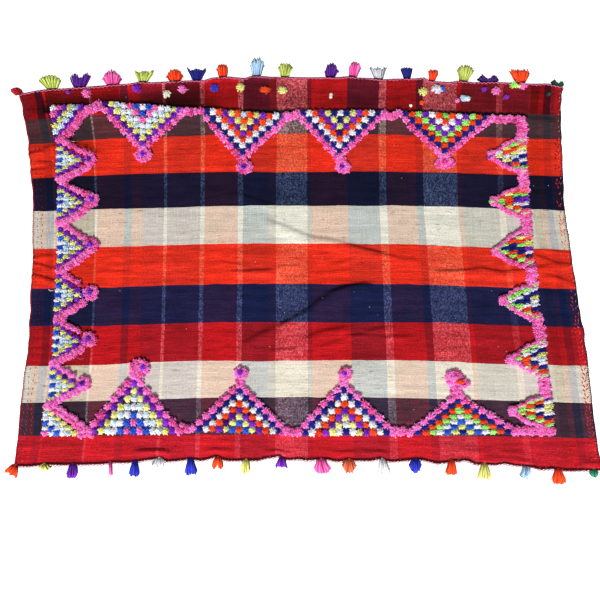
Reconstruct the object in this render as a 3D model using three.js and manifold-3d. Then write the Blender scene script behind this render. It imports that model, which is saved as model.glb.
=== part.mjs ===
// A flat-woven plaid rug lying on a floor, with a knotted zigzag border, tassels on its two long
// edges and at its corners, and small pompoms sewn to its top strip. Units are millimetres.
// X runs along the rug's long side, Y across it and Z up. The floor is at Z = 0.
// Places on the cloth are given by its threads: u counts along the weft and v along the warp.
import * as THREE from "three";
import { mergeVertices } from "three/addons/utils/BufferGeometryUtils.js";
import Module from "manifold-3d";

const wasm = await Module();
wasm.setup();

// Driving dimensions
const clothThickness = 2.5;
const gap = 0.3;
const halfWeft = 1060;
const hemTop = 779;
const hemBottom = -760;
const tuftHeight = 18;
const tuftDip = 13;
const tuftRim = 9;
const tuftFloor = clothThickness + gap;
// The middle of the whole rug with its tassels, seen from where threads u = 0 and v = 0 cross
const middle = { x: -21.4, y: 8.4 };

// Each weft line bows: where it is at the middle, and where its two ends are
const weftLines = [
  { v: 779, left: -1152, leftDrop: 67, right: 1078, rightDrop: 41 },
  { v: 640, left: -1126, leftDrop: 48, right: 1066, rightDrop: 24 },
  { v: 537, left: -1101, leftDrop: 40, right: 1063, rightDrop: 20 },
  { v: 377, left: -1083, leftDrop: 25, right: 1060, rightDrop: 17 },
  { v: 240, left: -1068, leftDrop: 23, right: 1061, rightDrop: 20 },
  { v: 80, left: -1064, leftDrop: 20, right: 1075, rightDrop: 21 },
  { v: -84, left: -1061, leftDrop: 16, right: 1092, rightDrop: 18 },
  { v: -232, left: -1060, leftDrop: 16, right: 1105, rightDrop: 17 },
  { v: -384, left: -1063, leftDrop: 18, right: 1120, rightDrop: 17 },
  { v: -525, left: -1076, leftDrop: 19, right: 1128, rightDrop: 22 },
  { v: -670, left: -1082, leftDrop: 10, right: 1138, rightDrop: 14 },
  { v: -760, left: -1090, leftDrop: 24, right: 1143, rightDrop: 33 },
];

// Creases and puckers: soft ridges, each from one point to another in plan
const folds = [
  { name: "upper_crease_a", x1: -250, y1: 262, x2: -60, y2: 168, high: 9, wide: 58 },
  { name: "upper_crease_b", x1: -60, y1: 168, x2: 110, y2: 88, high: 10, wide: 58 },
  { name: "upper_crease_c", x1: 110, y1: 88, x2: 400, y2: 8, high: 9, wide: 58 },
  { name: "long_crease_a", x1: -200, y1: -312, x2: -20, y2: -226, high: 10, wide: 62 },
  { name: "long_crease_b", x1: -20, y1: -226, x2: 110, y2: -132, high: 12, wide: 62 },
  { name: "long_crease_c", x1: 110, y1: -132, x2: 290, y2: -92, high: 10, wide: 58 },
  { name: "lower_crease", x1: 50, y1: -322, x2: 330, y2: -238, high: 9, wide: 55 },
  { name: "weft_pucker", x1: -290, y1: -46, x2: -90, y2: -42, high: 6, wide: 46 },
  { name: "right_crease", x1: 480, y1: -38, x2: 720, y2: -34, high: 6, wide: 44 },
];

// The strip outside the upper border stands in a low roll along the edge, narrower to the left
const edgeRoll = { from: 697, leftFrom: 736, high: 7 };

// Big motifs: a triangle of tufts, row by row from its base to its tip, then a knob on a stem
const bigMotifs = [
  { name: "tufts_top_1", x: -646, base: 655, tilt: -0.09, pitch: 25.7, row: 26.5, tipX: -640, knobY: 443 },
  { name: "tufts_top_2", x: -233, base: 624, tilt: -0.05, pitch: 24.4, row: 26.5, tipX: -242, knobY: 395 },
  { name: "tufts_top_3", x: 173, base: 625, tilt: 0, pitch: 24.7, row: 26.5, tipX: 163, knobY: 389 },
  { name: "tufts_top_4", x: 591, base: 613, tilt: -0.03, pitch: 26.0, row: 24.5, tipX: 583, knobY: 417 },
  { name: "tufts_bottom_1", x: -634, base: -654, tilt: 0, pitch: 24.6, row: -29.8, tipX: -640, knobY: -402 },
  { name: "tufts_bottom_2", x: -235, base: -649, tilt: 0, pitch: 25.4, row: -24.4, tipX: -235, knobY: -424 },
  { name: "tufts_bottom_3", x: 180, base: -657, tilt: 0, pitch: 26.0, row: -26.2, tipX: 168, knobY: -422 },
  { name: "tufts_bottom_4", x: 625, base: -656, tilt: 0.01, pitch: 28.8, row: -19.8, tipX: 607, knobY: -452 },
];
const bigReach = 7;
const bigKnob = { across: 64, along: 54 };

// Side motifs point inwards from a base line that runs along the rug's short side
const leftMotifs = [
  { x: -972, y: 428, pitch: 15.5, row: 22.5, knobX: -846 },
  { x: -958, y: 250, pitch: 17.5, row: 22.5, knobX: -826 },
  { x: -950, y: 65, pitch: 18.5, row: 22.5, knobX: -823 },
  { x: -951, y: -126, pitch: 18.5, row: 22.5, knobX: -815 },
  { x: -951, y: -308, pitch: 17.0, row: 22.5, knobX: -818 },
  { x: -960, y: -478, pitch: 14.5, row: 22.5, knobX: -833 },
];
const rightMotifs = [
  { x: 912, y: 440, pitch: 13.2, row: -27, knobX: 778 },
  { x: 914, y: 254, pitch: 10.6, row: -27, knobX: 776 },
  { x: 922, y: 59, pitch: 11.8, row: -27, knobX: 784 },
  { x: 938, y: -152, pitch: 13.0, row: -27, knobX: 800 },
  { x: 957, y: -378, pitch: 13.4, row: -27, knobX: 824 },
  { x: 970, y: -574, pitch: 11.6, row: -29, knobX: 818 },
];
const sideReach = 5;
const leftKnob = { across: 74, along: 62 };
const rightKnob = { across: 44, along: 44 };

// Corner motifs: a right triangle of tufts with its square corner outwards
const cornerReach = 6;
const corners = [
  { name: "upper", x: -1004, y: 642, pitchX: 22.5, pitchY: -22.5 },
  { name: "lower", x: -975, y: -660, pitchX: 22.5, pitchY: 18.5 },
];

// Bands of plain tufts that join the motifs, each from one point to another, and their width
const topBands = [
  { x1: -871, y1: 650, x2: -822, y2: 653, wide: 38, node: "tufts_top_1" },
  { x1: -482, y1: 634, x2: -426, y2: 633, wide: 38, node: "tufts_top_1" },
  { x1: -72, y1: 617, x2: -24, y2: 619, wide: 34, node: "tufts_top_2" },
  { x1: 338, y1: 621, x2: 386, y2: 619, wide: 34, node: "tufts_top_3" },
  { x1: 764, y1: 600, x2: 905, y2: 598, wide: 34, node: "tufts_top_4" },
  { x1: -842, y1: -662, x2: -800, y2: -660, wide: 40, node: "tufts_bottom_1" },
  { x1: -474, y1: -648, x2: -435, y2: -648, wide: 38, node: "tufts_bottom_1" },
  { x1: -68, y1: -654, x2: -27, y2: -656, wide: 38, node: "tufts_bottom_2" },
  { x1: 352, y1: -657, x2: 396, y2: -657, wide: 38, node: "tufts_bottom_3" },
  { x1: 818, y1: -653, x2: 975, y2: -657, wide: 34, node: "tufts_bottom_4" },
];
const leftBands = [
  { x1: -986, y1: 545, x2: -952, y2: 500, wide: 40 },
  { x1: -966, y1: 352, x2: -950, y2: 332, wide: 40 },
  { x1: -956, y1: 166, x2: -944, y2: 154, wide: 40 },
  { x1: -946, y1: -20, x2: -936, y2: -36, wide: 40 },
  { x1: -944, y1: -212, x2: -940, y2: -230, wide: 40 },
  { x1: -948, y1: -388, x2: -936, y2: -410, wide: 40 },
  { x1: -966, y1: -540, x2: -958, y2: -566, wide: 40 },
];
const rightBands = [
  { x1: 905, y1: 571, x2: 903, y2: 496, wide: 46 },
  { x1: 903, y1: 384, x2: 904, y2: 300, wide: 46 },
  { x1: 905, y1: 212, x2: 908, y2: 112, wide: 46 },
  { x1: 912, y1: 8, x2: 922, y2: -96, wide: 46 },
  { x1: 934, y1: -208, x2: 946, y2: -318, wide: 46 },
  { x1: 948, y1: -438, x2: 950, y2: -522, wide: 46 },
];

// Tassels: where each is tied along the hem, how far it reaches, how wide its locks fan out,
// how far its tip leans sideways, and how many locks it has
const topTassels = [
  { name: "lime_1", u: -941, reach: 62, fan: 74, lean: -16, locks: 6, tone: "lime" },
  { name: "purple_1", u: -836, reach: 64, fan: 80, lean: 2, locks: 6, tone: "purple" },
  { name: "pink_1", u: -725, reach: 62, fan: 82, lean: -6, locks: 6, tone: "pink" },
  { name: "olive_1", u: -613, reach: 52, fan: 78, lean: 2, locks: 5, tone: "lime" },
  { name: "orange_1", u: -492, reach: 50, fan: 70, lean: -4, locks: 6, tone: "orange" },
  { name: "navy_1", u: -410, reach: 60, fan: 78, lean: -2, locks: 5, tone: "navy" },
  { name: "orange_2", u: -312, reach: 50, fan: 36, lean: -8, locks: 4, tone: "orange" },
  { name: "sky_1", u: -177, reach: 78, fan: 60, lean: 6, locks: 6, tone: "sky" },
  { name: "lime_2", u: -62, reach: 62, fan: 60, lean: 2, locks: 6, tone: "lime" },
  { name: "purple_2", u: 121, reach: 60, fan: 58, lean: 10, locks: 5, tone: "purple" },
  { name: "pink_2", u: 212, reach: 62, fan: 54, lean: 16, locks: 5, tone: "pink" },
  { name: "grey_1", u: 319, reach: 58, fan: 72, lean: -3, locks: 6, tone: "grey" },
  { name: "navy_2", u: 432, reach: 50, fan: 50, lean: 0, locks: 5, tone: "navy" },
  { name: "orange_3", u: 532, reach: 50, fan: 42, lean: 10, locks: 4, tone: "orange" },
  { name: "lime_3", u: 658, reach: 74, fan: 68, lean: 14, locks: 6, tone: "lime" },
  { name: "purple_3", u: 766, reach: 30, fan: 84, lean: -6, locks: 5, tone: "purple" },
  { name: "scarlet_1", u: 890, reach: 64, fan: 84, lean: -2, locks: 6, tone: "orange" },
];
const bottomTassels = [
  { name: "lemon_1", u: -951, reach: 24, fan: 46, lean: 4, locks: 4, tone: "lime" },
  { name: "purple_4", u: -845, reach: 54, fan: 42, lean: -4, locks: 5, tone: "purple" },
  { name: "pink_3", u: -710, reach: 48, fan: 12, lean: 4, locks: 2, tone: "pink" },
  { name: "blue_1", u: -618, reach: 54, fan: 38, lean: -3, locks: 5, tone: "navy" },
  { name: "white_1", u: -530, reach: 34, fan: 48, lean: -4, locks: 5, tone: "grey" },
  { name: "navy_3", u: -413, reach: 60, fan: 44, lean: 2, locks: 5, tone: "navy" },
  { name: "orange_4", u: -310, reach: 46, fan: 44, lean: -2, locks: 5, tone: "orange" },
  { name: "lime_4", u: -204, reach: 50, fan: 36, lean: -3, locks: 4, tone: "lime" },
  { name: "violet_1", u: -68, reach: 42, fan: 44, lean: -3, locks: 5, tone: "purple" },
  { name: "pink_4", u: 74, reach: 56, fan: 54, lean: 4, locks: 6, tone: "pink" },
  { name: "coral_1", u: 174, reach: 54, fan: 56, lean: 0, locks: 6, tone: "orange" },
  { name: "white_2", u: 290, reach: 72, fan: 48, lean: 6, locks: 5, tone: "grey" },
  { name: "blue_2", u: 409, reach: 54, fan: 48, lean: -2, locks: 5, tone: "navy" },
  { name: "orange_5", u: 536, reach: 54, fan: 42, lean: -2, locks: 5, tone: "orange" },
  { name: "lemon_2", u: 652, reach: 60, fan: 54, lean: -2, locks: 5, tone: "lime" },
  { name: "sky_2", u: 802, reach: 48, fan: 40, lean: -10, locks: 5, tone: "sky" },
  { name: "orange_6", u: 911, reach: 54, fan: 52, lean: 2, locks: 5, tone: "orange" },
];
const cornerTassels = [
  { name: "red_corner", u: -1060, v: 779, toX: -0.94, toY: 0.34, reach: 34, fan: 30, locks: 4, tone: "orange" },
  { name: "green_corner", u: 1036, v: 779, toX: 0.2, toY: 0.98, reach: 24, fan: 40, locks: 4, tone: "green" },
  { name: "scarlet_corner", u: -1050, v: -760, toX: -0.2, toY: -0.98, reach: 46, fan: 46, locks: 5, tone: "orange" },
  { name: "teal_corner", u: 1028, v: -760, toX: 0.02, toY: -1, reach: 32, fan: 28, locks: 4, tone: "green" },
];
const tassel = {
  clear: 1.2,
  tieWidth: 9,
  headRadius: 8,
  headHeight: 14,
  rootHeight: 9,
  frontArc: 2.7,
  sections: [
    { at: 0.65, full: 0.82, high: 14 },
    { at: 1, full: 0.6, high: 10 },
  ],
};

// Pompoms sewn to the top strip, the larger ones, each by the threads it is sewn to
const pompoms = [
  { name: "pompom_1", u: -821, v: 742, across: 36, along: 36, high: 20, tone: "pink" },
  { name: "pompom_2", u: -637, v: 749, across: 34, along: 34, high: 19, tone: "purple" },
  { name: "pompom_3", u: -524, v: 718, across: 32, along: 30, high: 18, tone: "grey" },
  { name: "pompom_4", u: -464, v: 735, across: 34, along: 34, high: 20, tone: "pink" },
  { name: "pompom_5", u: -341, v: 734, across: 33, along: 32, high: 19, tone: "navy" },
  { name: "pompom_6", u: -239, v: 734, across: 32, along: 34, high: 19, tone: "lime" },
  { name: "pompom_7", u: -140, v: 722, across: 42, along: 30, high: 17, tone: "orange" },
  { name: "pompom_8", u: -71, v: 719, across: 36, along: 32, high: 19, tone: "lime" },
  { name: "pompom_9", u: 498, v: 721, across: 36, along: 32, high: 19, tone: "lime" },
  { name: "pompom_10", u: 554, v: 732, across: 44, along: 32, high: 19, tone: "grey" },
  { name: "pompom_11", u: 790, v: 735, across: 34, along: 34, high: 19, tone: "pink" },
];

const tones = {
  cloth: 0xb32026,
  pink: 0xf04fa4,
  purple: 0x55209a,
  navy: 0x1d2a86,
  orange: 0xf2431f,
  lime: 0xc9d765,
  sky: 0x9fc3de,
  grey: 0xd8d8da,
  green: 0x1f5f4a,
};

const rug = new THREE.Group();

function addPiece(name, tone, geometry) {
  const material = new THREE.MeshStandardMaterial({ color: tones[tone], roughness: 0.95, metalness: 0 });
  const mesh = new THREE.Mesh(geometry, material);
  mesh.name = name;
  rug.add(mesh);
  return mesh;
}

// A value from the table of weft lines at thread v, smooth from row to row
function weftValue(key, v) {
  const last = weftLines.length - 1;
  let i = 0;
  while (i < last - 1 && v < weftLines[i + 1].v) i += 1;
  const here = weftLines[i];
  const next = weftLines[i + 1];
  const before = weftLines[Math.max(i - 1, 0)];
  const after = weftLines[Math.min(i + 2, last)];
  const span = next.v - here.v;
  const t = (v - here.v) / span;
  const slopeHere = i > 0 ? ((next[key] - before[key]) / (next.v - before.v)) * span : next[key] - here[key];
  const slopeNext = i < last - 1 ? ((after[key] - here[key]) / (after.v - here.v)) * span : next[key] - here[key];
  const t2 = t * t;
  const t3 = t2 * t;
  return (
    (2 * t3 - 3 * t2 + 1) * here[key] +
    (t3 - 2 * t2 + t) * slopeHere +
    (3 * t2 - 2 * t3) * next[key] +
    (t3 - t2) * slopeNext
  );
}

// Where the threads u and v cross, in plan
function clothPlace(u, v) {
  const bow = (u / halfWeft) ** 2;
  if (u < 0) {
    return { x: u + (weftValue("left", v) + halfWeft) * bow, y: v - weftValue("leftDrop", v) * bow };
  }
  return { x: (u * weftValue("right", v)) / halfWeft, y: v - weftValue("rightDrop", v) * bow };
}

// The soft side of a ridge: 1 on its crest, 0 from its edge on
function soft(distance, reach) {
  const t = Math.min(Math.abs(distance) / reach, 1);
  return (1 - t * t) ** 2;
}

// How far the cloth stands off the floor at a place
function lift(x, y, u, v) {
  let height = 0;
  for (const fold of folds) {
    const dx = fold.x2 - fold.x1;
    const dy = fold.y2 - fold.y1;
    const length = Math.hypot(dx, dy);
    const along = ((x - fold.x1) * dx + (y - fold.y1) * dy) / length;
    const across = ((x - fold.x1) * dy - (y - fold.y1) * dx) / length;
    const past = Math.max(-along, along - length, 0);
    height = Math.max(height, fold.high * soft(across, fold.wide) * soft(past, fold.wide));
  }
  const left = u < 0 ? (u / halfWeft) ** 2 : 0;
  const from = edgeRoll.from + (edgeRoll.leftFrom - edgeRoll.from) * left;
  const crest = from + (hemTop - from) * 0.6;
  const reach = v > crest ? hemTop - crest : crest - from;
  return Math.max(height, edgeRoll.high * soft(v - crest, reach));
}

// Cloth: one sheet of even thickness, on a grid of its threads
const columns = [];
for (let u = -halfWeft; u < -330; u += 73) columns.push(u);
for (let u = -330; u < 480; u += 45) columns.push(u);
for (let u = 480; u < halfWeft - 1; u += 72.5) columns.push(u);
columns.push(halfWeft);
const rows = [hemTop, 762, 745, 722, 698, 640, 560, 480, 400, 330];
for (let v = 285; v > -400; v -= 42) rows.push(v);
rows.push(-440, -520, -600, -680, -730, hemBottom);

function makeCloth() {
  const across = columns.length;
  const down = rows.length;
  const points = [];
  for (const side of [clothThickness, 0]) {
    for (const v of rows) {
      for (const u of columns) {
        const place = clothPlace(u, v);
        points.push(place.x, place.y, side + lift(place.x, place.y, u, v));
      }
    }
  }
  const faces = [];
  const under = across * down;
  const quad = (a, b, c, d) => faces.push(a, b, c, a, c, d);
  for (let j = 0; j < down - 1; j += 1) {
    for (let i = 0; i < across - 1; i += 1) {
      const a = j * across + i;
      quad(a, a + across, a + across + 1, a + 1);
      quad(under + a, under + a + 1, under + a + across + 1, under + a + across);
    }
  }
  for (let i = 0; i < across - 1; i += 1) {
    const far = (down - 1) * across + i;
    quad(i, i + 1, under + i + 1, under + i);
    quad(far + 1, far, under + far, under + far + 1);
  }
  for (let j = 0; j < down - 1; j += 1) {
    const left = j * across;
    const right = left + across - 1;
    quad(left + across, left, under + left, under + left + across);
    quad(right, right + across, under + right + across, under + right);
  }
  const geometry = new THREE.BufferGeometry();
  geometry.setAttribute("position", new THREE.Float32BufferAttribute(points, 3));
  geometry.setIndex(faces);
  return geometry;
}

function toSolid(geometry) {
  const bare = geometry.index ? geometry.clone() : geometry;
  bare.deleteAttribute("normal");
  bare.deleteAttribute("uv");
  const merged = mergeVertices(bare, 1e-3);
  const vertProperties = Float32Array.from(merged.attributes.position.array);
  const triVerts = Uint32Array.from(merged.index.array);
  return new wasm.Manifold(new wasm.Mesh({ numProp: 3, vertProperties, triVerts }));
}

function toGeometry(solid) {
  const mesh = solid.getMesh();
  const geometry = new THREE.BufferGeometry();
  geometry.setAttribute("position", new THREE.BufferAttribute(mesh.vertProperties, 3));
  geometry.setIndex(new THREE.BufferAttribute(mesh.triVerts, 1));
  return geometry;
}

function joined(geometries) {
  return toGeometry(geometries.map(toSolid).reduce((whole, piece) => whole.add(piece)));
}

// A lumpy slab of tufts on a lattice: has(i, j) says which cells hold a tuft, and place(i, j)
// gives a lattice corner in plan. Its inner corners rise and dip, and its rim is low and round.
function tuftSlab(width, height, has, place) {
  const points = [];
  const faces = [];
  const numbers = new Map();
  const full = (i, j) => i >= 0 && j >= 0 && i < width && j < height && has(i, j);
  const flipped = turnsOver(place);
  const corner = (i, j, level) => {
    const key = `${i},${j},${level}`;
    if (!numbers.has(key)) {
      const inner = full(i, j) && full(i - 1, j) && full(i, j - 1) && full(i - 1, j - 1);
      const top = inner ? ((i + j) % 2 === 0 ? tuftHeight : tuftDip) : tuftRim;
      const at = place(i, j);
      numbers.set(key, points.length / 3);
      points.push(at.x, at.y, level === 0 ? tuftFloor : top);
    }
    return numbers.get(key);
  };
  const quad = (a, b, c, d) => (flipped ? faces.push(a, c, b, a, d, c) : faces.push(a, b, c, a, c, d));
  const wall = (i1, j1, i2, j2) =>
    quad(corner(i1, j1, 0), corner(i2, j2, 0), corner(i2, j2, 1), corner(i1, j1, 1));
  for (let i = 0; i < width; i += 1) {
    for (let j = 0; j < height; j += 1) {
      if (!full(i, j)) continue;
      quad(corner(i, j, 1), corner(i + 1, j, 1), corner(i + 1, j + 1, 1), corner(i, j + 1, 1));
      quad(corner(i, j, 0), corner(i, j + 1, 0), corner(i + 1, j + 1, 0), corner(i + 1, j, 0));
      if (!full(i, j - 1)) wall(i, j, i + 1, j);
      if (!full(i, j + 1)) wall(i + 1, j + 1, i, j + 1);
      if (!full(i - 1, j)) wall(i, j + 1, i, j);
      if (!full(i + 1, j)) wall(i + 1, j, i + 1, j + 1);
    }
  }
  const geometry = new THREE.BufferGeometry();
  geometry.setAttribute("position", new THREE.Float32BufferAttribute(points, 3));
  geometry.setIndex(faces);
  return geometry;
}

// Whether a lattice runs clockwise in plan
function turnsOver(place) {
  const a = place(0, 0);
  const b = place(1, 0);
  const c = place(0, 1);
  return (b.x - a.x) * (c.y - a.y) - (b.y - a.y) * (c.x - a.x) < 0;
}

// A low round lump of yarn, flat below
function lump(x, y, across, along, floor, high, sides = 8) {
  const profile = [
    new THREE.Vector2(0, 0),
    new THREE.Vector2(0.42, 0),
    new THREE.Vector2(0.5, high * 0.45),
    new THREE.Vector2(0.3, high * 0.92),
    new THREE.Vector2(0, high),
  ];
  const geometry = new THREE.LatheGeometry(profile, sides);
  geometry.rotateX(Math.PI / 2);
  geometry.scale(across, along, 1);
  geometry.translate(x, y, floor);
  return geometry;
}

// A band of plain tufts from one point to another, two tufts wide
function tuftBand({ x1, y1, x2, y2, wide }) {
  const length = Math.hypot(x2 - x1, y2 - y1);
  const steps = Math.max(1, Math.round(length / 34));
  const alongX = (x2 - x1) / length;
  const alongY = (y2 - y1) / length;
  const reach = length + 16;
  const place = (i, j) => {
    const run = (i / steps) * reach - 8;
    const off = (j / 2 - 0.5) * wide;
    return { x: x1 + alongX * run - alongY * off, y: y1 + alongY * run + alongX * off };
  };
  return tuftSlab(steps, 2, () => true, place);
}

// A triangle of tufts whose rows shorten by one tuft at each end
function bigMotif(motif) {
  const { x, base, tilt, pitch, row, tipX, knobY } = motif;
  const has = (i, j) => Math.abs(i - bigReach) + j <= bigReach;
  const place = (i, j) => {
    const centre = x + ((tipX - x) * j) / bigReach;
    const off = (i - bigReach - 0.5) * pitch;
    const slope = tilt * off * (1 - j / bigReach);
    return { x: centre + off, y: base + slope - (j - 0.5) * row };
  };
  const slab = tuftSlab(2 * bigReach + 1, bigReach + 1, has, place);
  const stemY = (base - row * bigReach + knobY) / 2;
  const stem = lump(tipX, stemY, 44, Math.abs(base - row * bigReach - knobY) + 30, tuftFloor, 14, 6);
  const knob = lump(tipX, knobY, bigKnob.across, bigKnob.along, tuftFloor, 17);
  return [slab, stem, knob];
}

function sideMotif({ x, y, pitch, row, knobX }, knob) {
  const has = (i, j) => Math.abs(i - sideReach) + j <= sideReach;
  const place = (i, j) => ({ x: x + (j - 0.5) * row, y: y + (i - sideReach - 0.5) * pitch });
  const slab = tuftSlab(2 * sideReach + 1, sideReach + 1, has, place);
  return [slab, lump(knobX, y, knob.along, knob.across, tuftFloor, 17)];
}

function cornerMotif({ x, y, pitchX, pitchY }) {
  const has = (i, j) => i + j < cornerReach;
  const place = (i, j) => ({ x: x + (i - 0.5) * pitchX, y: y + (j - 0.5) * pitchY });
  return tuftSlab(cornerReach, cornerReach, has, place);
}

// A tassel: a tied head just clear of the hem, and three-sided locks that fan out from it along
// the floor. The head's front has one facet for each lock, and the locks are apart beyond it.
// It is made with its tie at the origin and its locks towards +X, and then laid at its hem.
function makeTassel({ u, v, toX, toY, reach, fan, lean = 0, locks, name, tone }) {
  const points = [];
  const faces = [];
  const add = (out, side, z) => {
    points.push(out, side, z);
    return points.length / 3 - 1;
  };
  const centre = tassel.clear + tassel.headRadius;
  const ring = (t, radius, z) => {
    const angle = t * tassel.frontArc;
    return add(centre + radius * Math.cos(angle), radius * Math.sin(angle), z);
  };
  const backRight = add(tassel.clear, -tassel.tieWidth / 2, 0);
  const backLeft = add(tassel.clear, tassel.tieWidth / 2, 0);
  const crown = add(centre, 0, tassel.headHeight);
  const feet = [];
  const brows = [];
  for (let k = 0; k <= locks; k += 1) feet.push(ring(k / locks - 0.5, tassel.headRadius, 0));
  for (let k = 0; k < locks; k += 1) {
    brows.push(ring((k + 0.5) / locks - 0.5, tassel.headRadius, tassel.rootHeight));
  }
  faces.push(backRight, crown, backLeft, backLeft, feet[locks], backRight);
  faces.push(backRight, feet[0], brows[0], backRight, brows[0], crown);
  faces.push(backLeft, brows[locks - 1], feet[locks], backLeft, crown, brows[locks - 1]);
  for (let k = 0; k < locks; k += 1) {
    faces.push(backRight, feet[k + 1], feet[k]);
    if (k === 0) continue;
    faces.push(crown, brows[k - 1], brows[k], brows[k - 1], feet[k], brows[k]);
  }
  const rootWidth = 2 * tassel.headRadius * Math.sin(tassel.frontArc / locks / 2);
  for (let k = 0; k < locks; k += 1) {
    const t = (k + 0.5) / locks - 0.5;
    const angle = t * tassel.frontArc;
    const root = { out: centre + tassel.headRadius * Math.cos(angle), side: tassel.headRadius * Math.sin(angle) };
    const tip = { out: reach * (1 - 0.5 * t * t), side: t * fan + lean };
    const length = Math.hypot(tip.out - root.out, tip.side - root.side);
    const aheadOut = (tip.out - root.out) / length;
    const aheadSide = (tip.side - root.side) / length;
    let last = [feet[k], feet[k + 1], brows[k]];
    for (const { at, full, high } of tassel.sections) {
      const out = root.out + (tip.out - root.out) * at;
      const side = root.side + (tip.side - root.side) * at;
      const half = (full * (rootWidth * (1 - at) + (fan / locks) * at)) / 2;
      const right = add(out + aheadSide * half, side - aheadOut * half, 0);
      const left = add(out - aheadSide * half, side + aheadOut * half, 0);
      const ridge = add(out, side, high);
      const [lastRight, lastLeft, lastRidge] = last;
      faces.push(lastRight, right, ridge, lastRight, ridge, lastRidge);
      faces.push(lastLeft, lastRidge, ridge, lastLeft, ridge, left);
      faces.push(lastRight, lastLeft, left, lastRight, left, right);
      last = [right, left, ridge];
    }
    faces.push(last[0], last[1], last[2]);
  }
  const geometry = new THREE.BufferGeometry();
  geometry.setAttribute("position", new THREE.Float32BufferAttribute(points, 3));
  geometry.setIndex(faces);
  const tie = clothPlace(u, v);
  const mesh = addPiece(`tassel_${name}`, tone, geometry);
  mesh.position.set(tie.x, tie.y, 0);
  mesh.rotation.z = Math.atan2(toY, toX);
}

addPiece("cloth", "cloth", makeCloth());

for (const motif of bigMotifs) {
  const bands = topBands.filter((band) => band.node === motif.name).map(tuftBand);
  addPiece(motif.name, "pink", joined([...bigMotif(motif), ...bands]));
}
addPiece(
  "tufts_left",
  "pink",
  joined([
    ...leftMotifs.flatMap((motif) => sideMotif(motif, leftKnob)),
    ...leftBands.map(tuftBand),
    ...corners.map(cornerMotif),
  ]),
);
addPiece(
  "tufts_right",
  "pink",
  joined([...rightMotifs.flatMap((motif) => sideMotif(motif, rightKnob)), ...rightBands.map(tuftBand)]),
);

// Up the page the fan's sideways lean turns round, so it is given from left to right for both hems
for (const row of topTassels) makeTassel({ ...row, v: hemTop, toX: 0, toY: 1, lean: -row.lean });
for (const row of bottomTassels) makeTassel({ ...row, v: hemBottom, toX: 0, toY: -1 });
for (const row of cornerTassels) makeTassel(row);

// A pompom rests on the highest threads below it
function makePompom({ name, u, v, across, along, high, tone }) {
  const place = clothPlace(u, v);
  let ground = 0;
  for (const du of [-across / 2, 0, across / 2]) {
    for (const dv of [-along / 2, -along / 4, 0, along / 4, along / 2]) {
      const under = clothPlace(u + du, v + dv);
      ground = Math.max(ground, lift(under.x, under.y, u + du, v + dv));
    }
  }
  const mesh = addPiece(name, tone, lump(0, 0, across, along, 0, high));
  mesh.position.set(place.x, place.y, clothThickness + gap + ground + 0.1);
}

for (const row of pompoms) makePompom(row);

rug.position.set(-middle.x, -middle.y, 0);

export default rug;
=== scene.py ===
"""Looks for a flat-woven plaid rug with tufted motifs, tassels and pompoms, lying on a floor.

Plan positions are in millimetres, from where the cloth's threads u = 0 and v = 0 cross. u counts
along the weft and v along the warp. Everything becomes metres in the row frame when it is made.
"""

import math

import bpy
import numpy as np
from mathutils import Euler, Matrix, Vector


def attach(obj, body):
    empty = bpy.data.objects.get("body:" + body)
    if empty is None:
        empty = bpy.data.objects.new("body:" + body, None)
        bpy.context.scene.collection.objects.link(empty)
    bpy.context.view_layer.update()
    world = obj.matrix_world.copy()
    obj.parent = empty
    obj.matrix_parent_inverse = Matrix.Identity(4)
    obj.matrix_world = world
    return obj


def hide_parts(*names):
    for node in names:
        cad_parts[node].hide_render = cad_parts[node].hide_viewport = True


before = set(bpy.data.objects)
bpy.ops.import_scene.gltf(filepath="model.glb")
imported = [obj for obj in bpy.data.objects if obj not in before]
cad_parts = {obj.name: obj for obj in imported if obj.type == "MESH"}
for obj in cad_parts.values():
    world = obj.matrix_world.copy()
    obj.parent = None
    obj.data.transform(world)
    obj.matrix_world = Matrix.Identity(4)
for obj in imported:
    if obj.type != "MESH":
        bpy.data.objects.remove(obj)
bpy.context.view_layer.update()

MM = 0.001
# The middle of the whole rug with its tassels, in plan
MIDDLE = (-21.4, 8.4)
HALF_WEFT = 1060.0
HEM_TOP = 779.0
HEM_BOTTOM = -760.0
THICKNESS = 2.5

# Each weft line bows: its thread v, where its two ends are, and how far down they have come
WEFT_COLUMNS = ("v", "left", "left_drop", "right", "right_drop")
WEFT_LINES = [
    (779, -1152, 67, 1078, 41),
    (640, -1126, 48, 1066, 24),
    (537, -1101, 40, 1063, 20),
    (377, -1083, 25, 1060, 17),
    (240, -1068, 23, 1061, 20),
    (80, -1064, 20, 1075, 21),
    (-84, -1061, 16, 1092, 18),
    (-232, -1060, 16, 1105, 17),
    (-384, -1063, 18, 1120, 17),
    (-525, -1076, 19, 1128, 22),
    (-670, -1082, 10, 1138, 14),
    (-760, -1090, 24, 1143, 33),
]
WEFT = {name: np.array(column, float) for name, column in zip(WEFT_COLUMNS, zip(*WEFT_LINES))}


def weft_value(key, v):
    """A column of the weft table at thread v, smooth from row to row."""
    rows, values = WEFT["v"], WEFT[key]
    v = np.asarray(v, float)
    last = len(rows) - 1
    i = np.clip(np.searchsorted(-rows, -v, side="right") - 1, 0, last - 1)
    before, after = np.maximum(i - 1, 0), np.minimum(i + 2, last)
    span = rows[i + 1] - rows[i]
    t = (v - rows[i]) / span
    rise = values[i + 1] - values[i]
    from_before = (values[i + 1] - values[before]) / (rows[i + 1] - rows[before]) * span
    to_after = (values[after] - values[i]) / (rows[after] - rows[i]) * span
    slope_here = np.where(i > 0, from_before, rise)
    slope_next = np.where(i < last - 1, to_after, rise)
    t2, t3 = t * t, t * t * t
    return (
        (2 * t3 - 3 * t2 + 1) * values[i]
        + (t3 - 2 * t2 + t) * slope_here
        + (3 * t2 - 2 * t3) * values[i + 1]
        + (t3 - t2) * slope_next
    )


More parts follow.
